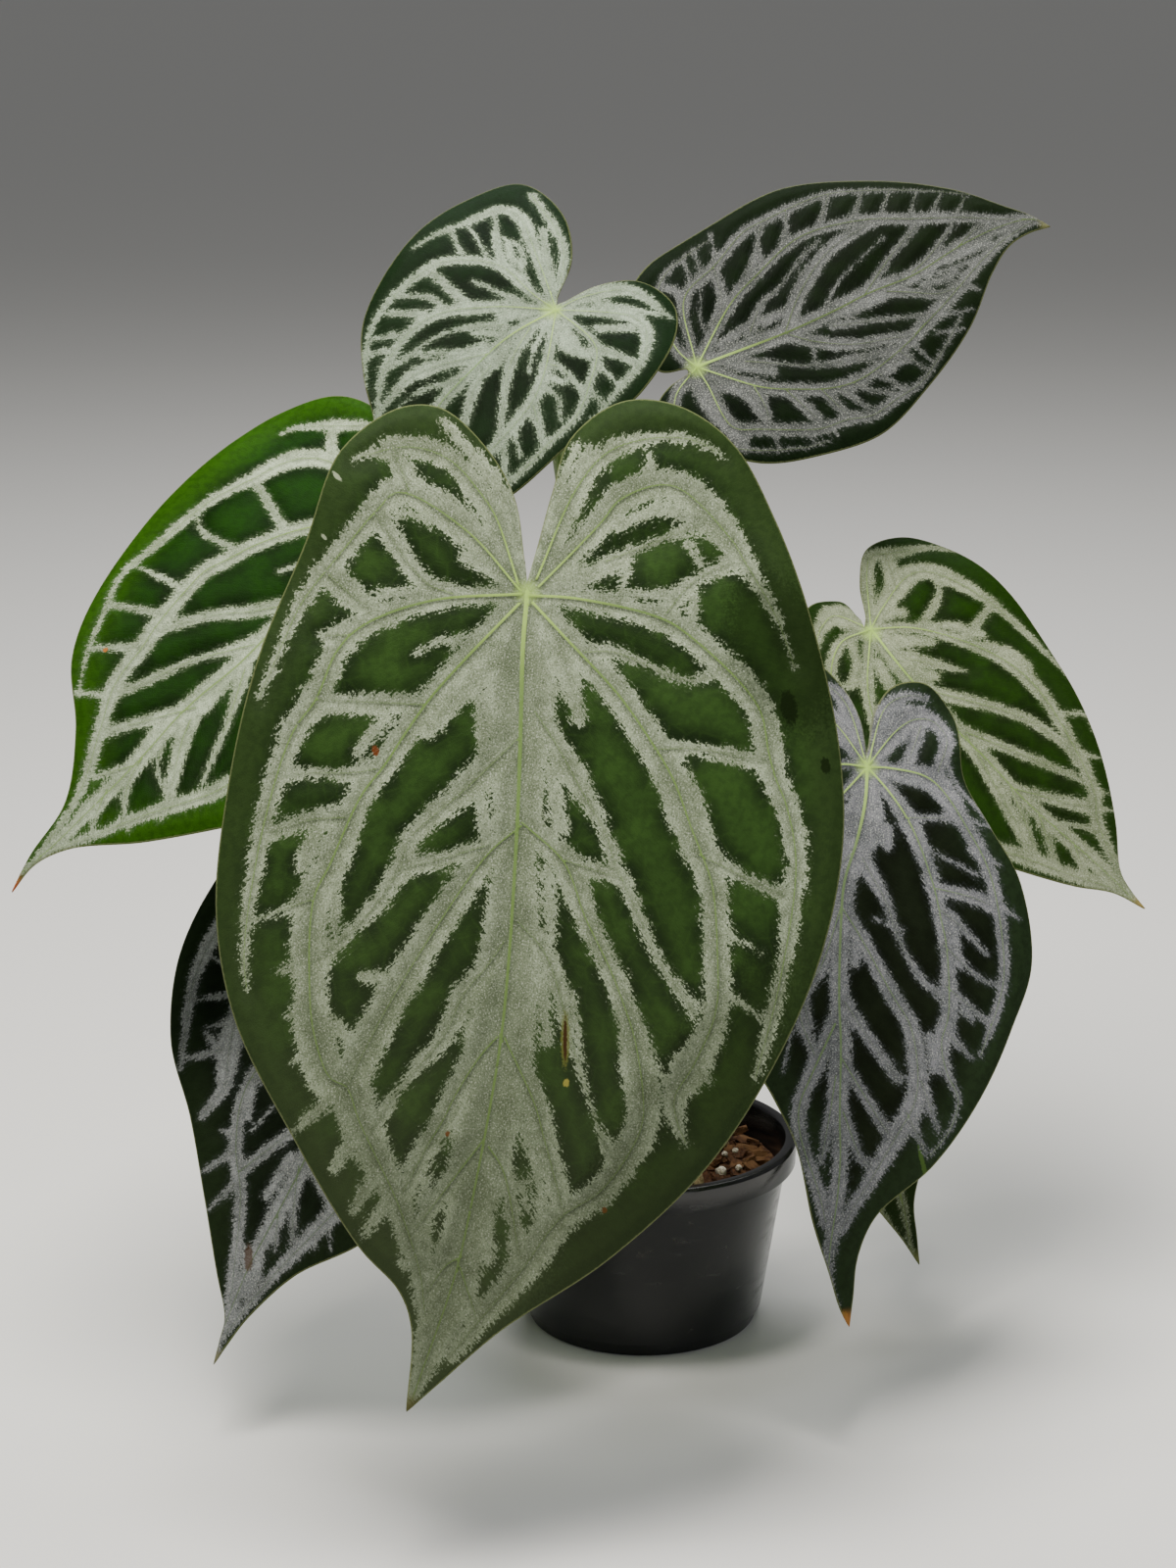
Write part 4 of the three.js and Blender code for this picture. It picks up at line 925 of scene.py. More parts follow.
def laid_over(tree, skin, colour, cover, low, high, most=1.0):
    """A colour laid over a skin: none where the cover is at low, the most where it is at high."""
    amount = add_node(tree, "ShaderNodeMapRange", {
        "Value": cover, "From Min": low, "From Max": high, "To Max": most,
    }, interpolation_type="SMOOTHSTEP").outputs[0]
    skin, colour = (linear(c) if isinstance(c, str) else c for c in (skin, colour))
    return add_node(tree, "ShaderNodeMix", {0: amount, 6: skin, 7: colour},
                    data_type="RGBA").outputs[2]


def shifted(tree, depth, pattern, reach):
    """A depth in millimetres moved either way by a pattern, so that a border it draws is uneven."""
    swing = add_node(tree, "ShaderNodeMath", {0: pattern, 1: 2 * reach, 2: -reach},
                     operation="MULTIPLY_ADD").outputs[0]
    return add_node(tree, "ShaderNodeMath", {0: depth, 1: swing}).outputs[0]


def oval_patch(tree, skin, plane, wobble, place, sizes, turn, colour, most):
    """An oval patch of colour on a blade, for a mark, a painted shade or a painted highlight, with its
    half sizes in millimetres and an uneven edge.
    """
    oval = add_node(tree, "ShaderNodeMapping", {
        "Vector": plane, "Location": (*place, 0), "Rotation": (0, 0, turn), "Scale": (*sizes, 1),
    }, vector_type="TEXTURE").outputs[0]
    reach = add_node(tree, "ShaderNodeVectorMath", {0: oval}, operation="LENGTH").outputs["Value"]
    uneven = shifted(tree, reach, wobble, 0.6)
    return laid_over(tree, skin, colour, uneven, 1.1, 0.7, most)


def coat(tree, shader, skin, roughness, specular, relief, depth):
    """A skin colour on the shader, with its roughness, its shine and a relief in millimetres."""
    tree.links.new(skin, shader.inputs["Base Color"])
    shader.inputs["Roughness"].default_value = roughness
    shader.inputs["Specular IOR Level"].default_value = specular
    bump = add_node(tree, "ShaderNodeBump", {"Height": relief, "Distance": depth * MM})
    tree.links.new(bump.outputs[0], shader.inputs["Normal"])


def object_place(tree):
    """Object coordinates in millimetres."""
    place = add_node(tree, "ShaderNodeTexCoord").outputs["Object"]
    return add_node(tree, "ShaderNodeVectorMath", {0: place, 1: (1 / MM,) * 3},
                    operation="MULTIPLY").outputs[0]


# Finishes

# Each upper face as the light of the photograph leaves it: the bright air-filled silver, its duller
# patches, the dark and the lighter green, the band at the margin, the pale vein lines and the tip.
PALETTE_KEYS = ("silver", "dull_silver", "green", "light_green", "margin", "vein", "tip")
# Each blade's palette is the same skin lit or shaded as that blade stands, so its light and shade are
# painted into these colours.
LIT_PALETTES = {
    "front": ("#96a287", "#566148", "#1b2914", "#334d21", "#2b3b1e", "#6d8948", "#4f4e2e"),
    "top_left": ("#a1b29b", "#6d7b65", "#061306", "#112710", "#0e220d", "#7a985c", "#6d7a4a"),
    "top_right": ("#666868", "#3e423f", "#070f06", "#0f1e0a", "#0e1b0b", "#526437", "#6a6b47"),
    "left": ("#aab89d", "#6d7b5f", "#071d01", "#153a03", "#284f03", "#779351", "#a3532c"),
    "low_left": ("#909395", "#56595a", "#0b130a", "#162114", "#1a2714", "#5b6d4c", "#6b6a52"),
    "right": ("#929b7f", "#5c684b", "#0d1e02", "#1d3b05", "#173004", "#718c4a", "#8a7a45"),
    "low_right": ("#7e7f84", "#4a4e51", "#0e130a", "#192113", "#22311d", "#6b8254", "#9c6a38"),
    "low_back": ("#7b8468", "#515a40", "#101a09", "#1d2e0e", "#1c2c10", "#677c42", "#6b7045"),
}
# How torn, how grainy and how wavy the silver's border is, in millimetres, and how soft; how much
# painted shade darkens the blade towards its tip; and from where to where, by how much, painted shade from
# the raised veins dulls the silver.
BORDER = {"ragged": 1.8, "fine": 2, "sway": 0.7, "soft": 0.3, "tip_painted_shade": 0.1,
          "painted_relief_shade": (1.7, -0.2, 0.6)}
OTHER_BORDERS = {
    "front": {"ragged": 3, "fine": 3.2, "sway": 1.4, "soft": 0.16, "tip_painted_shade": 0.6,
              "painted_relief_shade": (0.6, 4.2, 0.55)},
    "top_left": {"sway": 0.6},
    "top_right": {"ragged": 2, "fine": 1.8, "sway": 0.6},
    "left": {"ragged": 1.9},
    "low_back": {"fine": 1.8},
}
RIM_COLOUR = "#7d8458"
STALK_END_COLOUR = "#aacb66"
SILVER_GLINT = "#dfe3d6"
# Painted shade: the colour that greys and darkens each blade towards its tip.
PAINTED_TIP_SHADE = "#383e2c"
NET_SIZE = 5.5

# Marks and painted light on the upper faces: the middle along and across, the half sizes and the turn,
# then a colour and how much of it covers.
MARKS_AND_PAINTED_LIGHT = {
    "front": [
        ((6, 75), (26, 16), 0.5, "#14210a", 0.55),
        ((125, 29), (8.5, 1.3), 0.14, "#5f6430", 0.8),
        ((125, 29), (7.0, 0.6), 0.14, "#3b2a18", 1.0),
        ((137, 31), (1.2, 1.0), 0.0, "#8f8740", 0.8),
        ((52, -36), (1.6, 1.1), 0.4, "#6b3a1e", 0.9),
        ((171, 47), (0.9, 0.8), 0.0, "#5a3a1e", 0.9),
        ((156, 0), (0.8, 0.7), 0.0, "#5a3a1e", 0.9),
        ((22, 79), (5.5, 2.6), 0.3, "#101a08", 0.85),
        ((37, 92), (2.6, 1.6), 0.3, "#101a08", 0.8),
        # Painted highlights: the wet shine of two drops on the left lobe.
        ((-25, -59), (2.0, 0.7), 0.9, "#98a386", 0.8),
        ((-7, -60), (1.2, 0.6), 0.9, "#98a386", 0.8),
        # Painted shade over the lower right of the front blade.
        ((150, 62), (70, 17), -0.42, "#161d0c", 0.35),
    ],
    "left": [((89, -30), (0.9, 0.7), 0.0, "#a8652a", 0.9)],
    "low_left": [((108, -1), (4.5, 1.5), 0.3, "#4a3626", 0.75)],
    "low_right": [
        ((174, -2), (3.5, 1.8), 0.0, "#8a6a30", 0.6),
        ((125, 20), (7, 0.8), 0.3, "#4f6a30", 0.5),
    ],
}


def blade_fields(tree, *keys):
    """What the blade's mesh says at each point: numbers, and two places as vectors."""
    vectors = ("plane", "streak")
    return {key: add_node(tree, "ShaderNodeAttribute", attribute_name=key)
            .outputs["Vector" if key in vectors else "Fac"] for key in keys}


def vein_net(tree, plane):
    """The finest veins: the distance from the borders of small cells."""
    return add_node(tree, "ShaderNodeTexVoronoi", {"Vector": plane, "Scale": 1 / NET_SIZE},
                    feature="DISTANCE_TO_EDGE", voronoi_dimensions="2D").outputs["Distance"]


def upper_face(name):
    """Living leaf skin: air under the skin scatters light as silver along the veins."""
    look = {**dict(zip(PALETTE_KEYS, LIT_PALETTES[name])), **BORDER, **OTHER_BORDERS.get(name, {})}
    material, tree, shader = new_material(f"silver-veined leaf skin, {name.replace('_', ' ')}")
    read = blade_fields(tree, "silver", "vein", "margin", "from_tip", "from_stalk", "plane", "streak")
    plane = read["plane"]
    torn = grain(tree, read["streak"], (3.4, 0.8, 7.0), 4.0, 0.62)
    fine = grain(tree, plane, 0.7, 3.0, 0.65, 1.7)
    crystal = grain(tree, plane, 0.5, 3.0, 0.65, 3.1)
    lumps = grain(tree, plane, 2.2, 2.0, 0.55, 6.2)
    sway = grain(tree, plane, 11.0, 2.0, 0.5, 4.4)
    broad = grain(tree, plane, 14.0, 3.0, 0.5)
    depth = shifted(tree, read["silver"], torn, look["ragged"])
    depth = shifted(tree, depth, fine, look["fine"])
    depth = shifted(tree, depth, sway, look["sway"])

    silver = laid_over(tree, look["silver"], look["dull_silver"], broad, 0.42, 0.66, 0.55)
    # Painted shade from the raised veins: the silver is dulled near the veins on the front blade and at
    # the border of the bands on the others.
    silver = laid_over(tree, silver, look["dull_silver"], depth, *look["painted_relief_shade"])
    silver = laid_over(tree, silver, look["dull_silver"], lumps, 0.55, 0.35, 0.4)
    silver = laid_over(tree, silver, look["green"], crystal, 0.5, 0.3, 0.55)
    silver = laid_over(tree, silver, SILVER_GLINT, crystal, 0.52, 0.72, 0.5)

    net = vein_net(tree, plane)
    green = laid_over(tree, look["green"], look["light_green"], read["silver"], -1.0, -6.5, 0.6)
    green = laid_over(tree, green, look["light_green"], broad, 0.42, 0.64, 0.6)
    green = laid_over(tree, green, look["light_green"], net, 0.12, 0.0, 0.2)
    green = laid_over(tree, green, look["margin"], read["margin"], 17.0, 3.0, 0.8)
    green = laid_over(tree, green, look["green"], lumps, 0.6, 0.35, 0.3)
    green = laid_over(tree, green, look["dull_silver"], depth, -1.6, -0.3, 0.14)
    skin = laid_over(tree, green, silver, depth, -look["soft"], look["soft"])

    # Painted shade in the hollows beside the vein lines.
    skin = laid_over(tree, skin, look["green"], read["vein"], -1.1, -0.12, 0.18)
    vein = laid_over(tree, look["vein"], STALK_END_COLOUR, read["from_stalk"], 34.0, 3.0)
    skin = laid_over(tree, skin, vein, read["vein"], -0.04, 0.2, 0.85)
    # Painted shade towards the tip, strongest on the front blade.
    skin = laid_over(tree, skin, PAINTED_TIP_SHADE, read["from_tip"], 190.0, 8.0, look["tip_painted_shade"])
    skin = laid_over(tree, skin, STALK_END_COLOUR, read["from_stalk"], 5.0, 1.0, 0.6)
    for patch in MARKS_AND_PAINTED_LIGHT.get(name, []):
        skin = oval_patch(tree, skin, plane, fine, *patch)
    edge = shifted(tree, read["margin"], fine, 0.3)
    skin = laid_over(tree, skin, RIM_COLOUR, edge, 0.35, 0.1, 0.45)
    skin = laid_over(tree, skin, look["tip"], read["from_tip"], 6.5, 1.5, 0.9)
    relief = add_node(tree, "ShaderNodeMath", {0: crystal, 1: torn}).outputs[0]
    coat(tree, shader, skin, 0.5, 0.025, relief, 0.14)
    return material


def lower_face():
    """The leaf's duller underside: pale matt green with lighter ribs."""
    material, tree, shader = new_material("matt leaf underside")
    read = blade_fields(tree, "vein", "margin", "silver", "plane")
    cells = grain(tree, read["plane"], 1.2, 3.0, 0.6)
    broad = grain(tree, read["plane"], 18.0, 3.0, 0.5)
    net = vein_net(tree, read["plane"])
    skin = laid_over(tree, "#5f7a42", "#7b965a", broad, 0.35, 0.65)
    skin = laid_over(tree, skin, "#8aa56a", read["silver"], -2.0, 3.0, 0.5)
    skin = laid_over(tree, skin, "#93ab70", net, 0.08, 0.0, 0.6)
    skin = laid_over(tree, skin, "#4f6a38", cells, 0.5, 0.32, 0.4)
    skin = laid_over(tree, skin, "#b3c587", read["vein"], -0.7, 0.3, 0.85)
    skin = laid_over(tree, skin, RIM_COLOUR, read["margin"], 0.5, 0.1, 0.7)
    coat(tree, shader, skin, 0.6, 0.3, cells, 0.15)
    return material


def stalk_skin():
    """A smooth waxy leaf stalk: fine lengthwise streaks and pale pores, browner at its foot."""
    material, tree, shader = new_material("waxy leaf stalk")
    place = object_place(tree)
    streaks = grain(tree, place, (0.8, 0.8, 14.0), 3.0, 0.6)
    pores = grain(tree, place, (0.7, 0.7, 2.2), 1.0, 0.5, 5.0)
    height = add_node(tree, "ShaderNodeSeparateXYZ", {0: place}).outputs[2]
    skin = laid_over(tree, "#4d642b", "#70864a", streaks, 0.35, 0.65)
    skin = laid_over(tree, skin, "#a9b27c", pores, 0.66, 0.72, 0.7)
    skin = laid_over(tree, skin, "#5d4a2c", height, 118.0, 76.0, 0.75)
    coat(tree, shader, skin, 0.42, 0.45, streaks, 0.1)
    return material


def stem_bark():
    """The short stem's dry skin: olive brown, cracked in rings at the old leaf scars."""
    material, tree, shader = new_material("scarred stem skin")
    place = object_place(tree)
    rings = grain(tree, place, (9.0, 9.0, 1.0), 4.0, 0.65)
    patches = grain(tree, place, 6.0, 3.0, 0.6, 2.0)
    skin = laid_over(tree, "#3f3620", "#776d45", rings, 0.35, 0.65)
    skin = laid_over(tree, skin, "#66743e", patches, 0.5, 0.7, 0.7)
    coat(tree, shader, skin, 0.8, 0.3, rings, 0.5)
    return material


def root_skin():
    """Spongy aerial root: pale tan with darker cracks, greener in patches."""
    material, tree, shader = new_material("spongy root skin")
    place = object_place(tree)
    cracks = grain(tree, place, 1.6, 4.0, 0.7)
    patches = grain(tree, place, 8.0, 2.0, 0.5, 4.0)
    skin = laid_over(tree, "#65513a", "#b3a27c", cracks, 0.35, 0.6)
    skin = laid_over(tree, skin, "#8a8656", patches, 0.5, 0.7, 0.6)
    coat(tree, shader, skin, 0.88, 0.25, cracks, 0.35)
    return material


def sheath_skin():
    """A dead bud scale: dry brown paper with long parallel fibres and torn darker spots."""
    material, tree, shader = new_material("papery bud scale")
    place = object_place(tree)
    fibres = grain(tree, place, (0.7, 0.7, 18.0), 4.0, 0.7)
    patches = grain(tree, place, 7.0, 3.0, 0.6, 1.0)
    specks = grain(tree, place, 1.4, 2.0, 0.5, 9.0)
    skin = laid_over(tree, "#573a22", "#a98356", fibres, 0.35, 0.62)
    skin = laid_over(tree, skin, "#c9ad80", patches, 0.5, 0.72, 0.65)
    skin = laid_over(tree, skin, "#38251a", specks, 0.66, 0.74, 0.7)
    coat(tree, shader, skin, 0.72, 0.3, fibres, 0.3)
    return material


def bark_mix():
    """Fir bark and peat: rough flakes, dark red-brown with paler split faces."""
    material, tree, shader = new_material("fir bark mix")
    place = object_place(tree)
    fibres = grain(tree, place, (1.0, 3.0, 0.8), 5.0, 0.7)
    pieces = grain(tree, place, 9.0, 1.0, 0.5, 6.0)
    dust = grain(tree, place, 0.6, 2.0, 0.6, 2.0)
    skin = laid_over(tree, "#1f130c", "#5a3c27", fibres, 0.3, 0.65)
    skin = laid_over(tree, skin, "#7d5c3d", pieces, 0.48, 0.62, 0.65)
    skin = laid_over(tree, skin, "#9a8266", dust, 0.62, 0.75, 0.4)
    coat(tree, shader, skin, 0.94, 0.2, fibres, 0.7)
    return material


def perlite_grit():
    """Puffed volcanic glass: chalky white, dusty and pitted."""
    material, tree, shader = new_material("perlite grit")
    place = object_place(tree)
    pits = grain(tree, place, 0.8, 3.0, 0.6)
    skin = laid_over(tree, "#9a9182", "#dcd6c8", pits, 0.35, 0.58)
    coat(tree, shader, skin, 0.92, 0.2, pits, 0.4)
    return material


def pot_plastic():
    """Moulded polypropylene: satin black with a faint mould grain and dusty scuffs."""
    material, tree, shader = new_material("moulded polypropylene")
    place = object_place(tree)
    mould = grain(tree, place, 0.6, 2.0, 0.5)
    scuffs = grain(tree, place, (14.0, 14.0, 2.5), 4.0, 0.7, 8.0)
    dust = grain(tree, place, 7.0, 4.0, 0.65, 3.0)
    skin = laid_over(tree, "#131415", "#292a2a", scuffs, 0.5, 0.72, 0.7)
    skin = laid_over(tree, skin, "#4a4740", dust, 0.58, 0.8, 0.35)
    coat(tree, shader, skin, 0.42, 0.5, mould, 0.04)
    rough = laid_over(tree, "#5f5f5f", "#8f8f8f", scuffs, 0.45, 0.7)
    tree.links.new(rough, shader.inputs["Roughness"])
    return material


def studio_floor():
    """A plain pale studio floor."""
    material, _, shader = new_material("pale studio floor")
    shader.inputs["Base Color"].default_value = linear("#e6e6e3")
    shader.inputs["Roughness"].default_value = 0.8
    shader.inputs["Specular IOR Level"].default_value = 0.24
    return material


# Round pieces: tubes along a curve and pieces turned on the pot's axis

STEM_TOP = 75.0
GAP = 0.3
STALK_RADIUS = 2.5
STALK_FOOT_RADIUS = 3.3
KNEE_RADIUS = 3.1
KNEE_LENGTH = 20.0
FOOT_LENGTH = 14.0
KNEE_GAP = 0.2
# How far a stalk first rises and how far it last runs square to its blade, as shares of its reach.
STALK_RISE = 0.45
STALK_LEAD = 0.3
# How round a tube is, its cuts along its length, and how close points are that become one.
TUBE_ROUNDNESS = 5
STALK_CUTS = 22
ROOT_CUTS = 10
WELD = 0.02


def tube(name, controls, radius_at, cuts):
    """A round closed tube along one Bezier curve, by its four control points in millimetres."""
    deselect()
    bpy.ops.curve.primitive_bezier_curve_add(location=(0, 0, 0))
    piece = bpy.context.object
    piece.name = name
    curve = piece.data
    start, end = curve.splines[0].bezier_points
    first, second, third, fourth = [Vector(p) * MM for p in controls]
    for point in (start, end):
        point.handle_left_type = point.handle_right_type = "FREE"
    start.co, start.handle_right, start.handle_left = first, second, first - (second - first)
    end.co, end.handle_left, end.handle_right = fourth, third, fourth + (fourth - third)
    bpy.ops.object.mode_set(mode="EDIT")
    bpy.ops.curve.select_all(action="SELECT")
    bpy.ops.curve.subdivide(number_cuts=cuts)
    bpy.ops.object.mode_set(mode="OBJECT")
    points = curve.splines[0].bezier_points
    runs = np.cumsum([0] + [(b.co - a.co).length / MM for a, b in zip(points, points[1:])])
    for point, run in zip(points, runs):
        point.radius = radius_at(run, runs[-1])
    curve.bevel_depth = MM
    curve.bevel_resolution = TUBE_ROUNDNESS
    curve.resolution_u = 3
    curve.use_fill_caps = True
    curve.twist_mode = "MINIMUM"
    choose(piece)
    bpy.ops.object.convert(target="MESH")
    bpy.ops.object.mode_set(mode="EDIT")
    bpy.ops.mesh.select_all(action="SELECT")
    bpy.ops.mesh.remove_doubles(threshold=WELD * MM)
    bpy.ops.mesh.normals_make_consistent(inside=False)
    bpy.ops.object.mode_set(mode="OBJECT")
    bpy.ops.object.shade_smooth_by_angle(angle=math.radians(50))
    return bpy.context.object


def turned(name, profile, sides):
    """A piece turned on the pot's axis: a ring is extruded and resized from one place of the
    profile, (radius, height), to the next, and both ends are closed."""
    deselect()
    radius, height = profile[0]
    bpy.ops.mesh.primitive_circle_add(vertices=sides, radius=radius * MM, fill_type="NGON",
                                      location=(0, 0, height * MM))
    piece = bpy.context.object
    piece.name = name
    bpy.ops.object.transform_apply()
    bpy.ops.object.mode_set(mode="EDIT")
    bpy.ops.mesh.select_all(action="SELECT")
    for next_radius, next_height in profile[1:]:
        lift = {"value": (0, 0, (next_height - height) * MM)}
        bpy.ops.mesh.extrude_region_move(TRANSFORM_OT_translate=lift)
        grow = next_radius / radius
        bpy.ops.transform.resize(value=(grow, grow, 1), center_override=(0, 0, next_height * MM))
        radius, height = next_radius, next_height
    bpy.ops.mesh.select_all(action="SELECT")
    bpy.ops.mesh.normals_make_consistent(inside=False)
    bpy.ops.object.mode_set(mode="OBJECT")
    return piece


def soften(piece, width, segments, angle):
    """Rounds a piece's hard edges and shades what is left smooth."""
    choose(piece)
    bevel = piece.modifiers.new("rounded edges", "BEVEL")
    bevel.width = width * MM
    bevel.segments = segments
    bevel.limit_method = "ANGLE"
    bevel.angle_limit = math.radians(angle)
    bpy.ops.object.modifier_apply(modifier=bevel.name)
    bpy.ops.object.shade_smooth_by_angle(angle=math.radians(angle))


def add_stalk(name, skin):
    """A leaf stalk from the crown to the back of its blade, thicker at its foot and its knee."""
    blade = Blade(name)
    foot = np.array([*blade.leaf["foot"], STEM_TOP + GAP])
    along, across = np.array([0.0, 3.0]), np.zeros(2)
    middle, further = blade.place(along, across, blade.height(along, across))
    normal = -np.cross(blade.across, further - middle)
    normal /= np.linalg.norm(normal)
    end = middle - normal * (BLADE_THICKNESS / 2 + GAP + KNEE_GAP)
    reach = np.linalg.norm(end - foot)
    rise = foot + np.array([0, 0, reach * STALK_RISE])
    behind = end - normal * reach * STALK_LEAD

    def radius_at(run, whole):
        """The stalk's radius, a given run up from its foot."""
        sheath = (STALK_FOOT_RADIUS - STALK_RADIUS) * math.exp(-run / FOOT_LENGTH)
        knee = (KNEE_RADIUS - STALK_RADIUS) * math.sin(min((whole - run) / KNEE_LENGTH, 1) * math.pi)
        return STALK_RADIUS + sheath + knee

    piece = tube(f"petiole_{name}", (foot, rise, behind, end), radius_at, STALK_CUTS)
    return seat(piece, f"stalk_{name}", "leaf_stalk", skin)


# The nursery pot

POT_HEIGHT = 64.0
POT_TOP_RADIUS = 50.0
POT_BASE_RADIUS = 40.0
POT_WALL = 1.6
RIM_HEIGHT = 9.0
RIM_OVERHANG = 2.2
FOOT_STEP = 1.2
POT_SIDES = 96
DRAIN_HOLES = 6
DRAIN_RADIUS = 3.5
DRAIN_CIRCLE = 27.0


def add_pot(plastic):
    """A thin moulded pot with a rolled rim, a step at its foot and drain holes."""
    rim_radius = POT_TOP_RADIUS + RIM_OVERHANG
    rim_foot = POT_HEIGHT - RIM_HEIGHT
    inner = POT_TOP_RADIUS - POT_WALL
    inner_base = POT_BASE_RADIUS - POT_WALL
    pot = turned("nursery_pot", [
        (POT_BASE_RADIUS - FOOT_STEP, 0), (POT_BASE_RADIUS - FOOT_STEP + 0.3, 4),
        (POT_BASE_RADIUS + 0.8, 4.4), (POT_TOP_RADIUS - 1.4, rim_foot - 0.4),
        (rim_radius - 0.3, rim_foot + 0.6), (rim_radius, POT_HEIGHT - 0.9),
        (rim_radius - 0.9, POT_HEIGHT), (inner, POT_HEIGHT), (inner - 0.4, POT_HEIGHT - 1.2),
        (inner_base, POT_WALL + 1), (inner_base - 1, POT_WALL),
    ], POT_SIDES)
    deselect()
    for i in range(DRAIN_HOLES):
        turn = i / DRAIN_HOLES * math.tau
        place = Vector((math.cos(turn), math.sin(turn), 0)) * DRAIN_CIRCLE * MM
        bpy.ops.mesh.primitive_cylinder_add(vertices=28, radius=DRAIN_RADIUS * MM,
                                            depth=POT_WALL * 4 * MM, location=place)
        drill = bpy.context.object
        choose(pot)
        cut = pot.modifiers.new("drain hole", "BOOLEAN")
        cut.operation = "DIFFERENCE"
        cut.solver = "EXACT"
        cut.object = drill
        bpy.ops.object.modifier_apply(modifier=cut.name)
        bpy.data.objects.remove(drill)
    soften(pot, 0.35, 2, 28)
    seat(pot, "pot", "pot_plastic", plastic)


# The potting mix: a plug of fine bark with chips and perlite on its lumpy top

MIX_LEVEL = 54.0
CHIP_COUNT = 210
GRIT_COUNT = 46
CHIP_SHAPES = 5
CHIP_CLEARANCE = 19.5
MIX_SEED = 41


def scattered(master, name, places, random_turn):
    """Copies of one modelled piece, each with a mesh of its own."""
    copies = []
    for number, (place, size) in enumerate(places, 1):
        copy = master.copy()
        copy.data = master.data.copy()
        copy.name = f"{name}_{number}"
        copy.location = Vector(place) * MM
        copy.rotation_euler = random_turn()
        copy.scale = (size, size, size)
        bpy.context.scene.collection.objects.link(copy)
        copies.append(copy)
    bpy.data.objects.remove(master)
    return copies


def joined(name, pieces):
    """One piece of many, at the origin, unturned and unscaled."""
    deselect()
    for piece in pieces:
        piece.select_set(True)
    bpy.context.view_layer.objects.active = pieces[0]
    bpy.ops.object.join()
    bpy.ops.object.transform_apply()
    pieces[0].name = name
    return pieces[0]


def bark_chip(number):
    """One flake of bark: a thin block, bevelled and knocked out of shape."""
    deselect()
    bpy.ops.mesh.primitive_cube_add(size=2 * MM, location=(0, 0, 0))
    chip = bpy.context.object
    bpy.ops.object.mode_set(mode="EDIT")
    bpy.ops.transform.resize(value=(3.4 + 0.5 * number, 2.1 + 0.25 * (number % 3), 0.9))
    bpy.ops.mesh.subdivide(number_cuts=2)
    bpy.ops.transform.vertex_random(offset=0.9 * MM, seed=number + 3)
    bpy.ops.object.mode_set(mode="OBJECT")
    soften(chip, 0.25, 1, 25)
    return chip


def grit_grain():
    """One puffed grain of perlite."""
    deselect()
    bpy.ops.mesh.primitive_ico_sphere_add(subdivisions=2, radius=1.5 * MM, location=(0, 0, 0))
    grain_piece = bpy.context.object
    bpy.ops.object.mode_set(mode="EDIT")
    bpy.ops.transform.vertex_random(offset=0.45 * MM, seed=5)
    bpy.ops.object.mode_set(mode="OBJECT")
    bpy.ops.object.shade_smooth_by_angle(angle=math.radians(40))
    return grain_piece


def add_mix(bark, grit):
    """The plug of fine bark, then the chips and the perlite on it in one seeded random order."""
    draw = random.Random(MIX_SEED)
    edge = POT_TOP_RADIUS - POT_WALL - 1.9
    base = POT_BASE_RADIUS - POT_WALL - 0.3
    plug = turned("fine_bark", [
        (base - 1, POT_WALL + 0.3), (base, POT_WALL + 1.3), (edge, MIX_LEVEL - 2.5),
        (edge - 1.5, MIX_LEVEL - 1.2), (edge * 0.8, MIX_LEVEL - 0.5), (edge * 0.6, MIX_LEVEL),
        (edge * 0.45, MIX_LEVEL + 0.2),
    ], 72)
    choose(plug)
    bpy.ops.object.shade_smooth_by_angle(angle=math.radians(40))
    seat(plug, "potting_mix", "potting_mix", bark)

    def ring_place(low, high, rise):
        """A random place on the mix between two radii."""
        radius = math.sqrt(draw.uniform(low ** 2, high ** 2))
        turn = draw.uniform(0, math.tau)
        return radius * math.cos(turn), radius * math.sin(turn), MIX_LEVEL + rise

    def chip_turn():
        """A random turn that leaves a chip nearly flat."""
        return draw.uniform(-0.5, 0.5), draw.uniform(-0.5, 0.5), draw.uniform(0, math.tau)

    chips = []
    for shape in range(CHIP_SHAPES):
        places = [(ring_place(CHIP_CLEARANCE, edge - 5.5, draw.uniform(-0.4, 1.6)),
                   draw.uniform(0.7, 1.15)) for _ in range(CHIP_COUNT // CHIP_SHAPES)]
        chips += scattered(bark_chip(shape), "chip", places, chip_turn)
    seat(joined("bark_chips", chips), "potting_mix", "potting_mix", bark)
    places = [(ring_place(CHIP_CLEARANCE, edge - 3.0, draw.uniform(1.0, 2.6)),
               draw.uniform(0.6, 1.3)) for _ in range(GRIT_COUNT)]
    seat(joined("perlite", scattered(grit_grain(), "grain", places, chip_turn)), "potting_mix",
         "potting_mix", grit)


# The stem, its arching roots and the papery sheaths round its crown

STEM_RADIUS = 17.0
STEM_FOOT = 36.0
STEM_SCARS = 7
ROOT_RADIUS = 2.3
ROOT_DEPTH = 14.0
ROOT_TAPER = 0.35
# Each root's turn round the stem, how far it reaches and how high it starts.
ROOTS = [(0.35, 30, 64), (1.7, 26, 67), (2.75, 33, 63), (4.1, 28, 66), (5.3, 34, 65)]


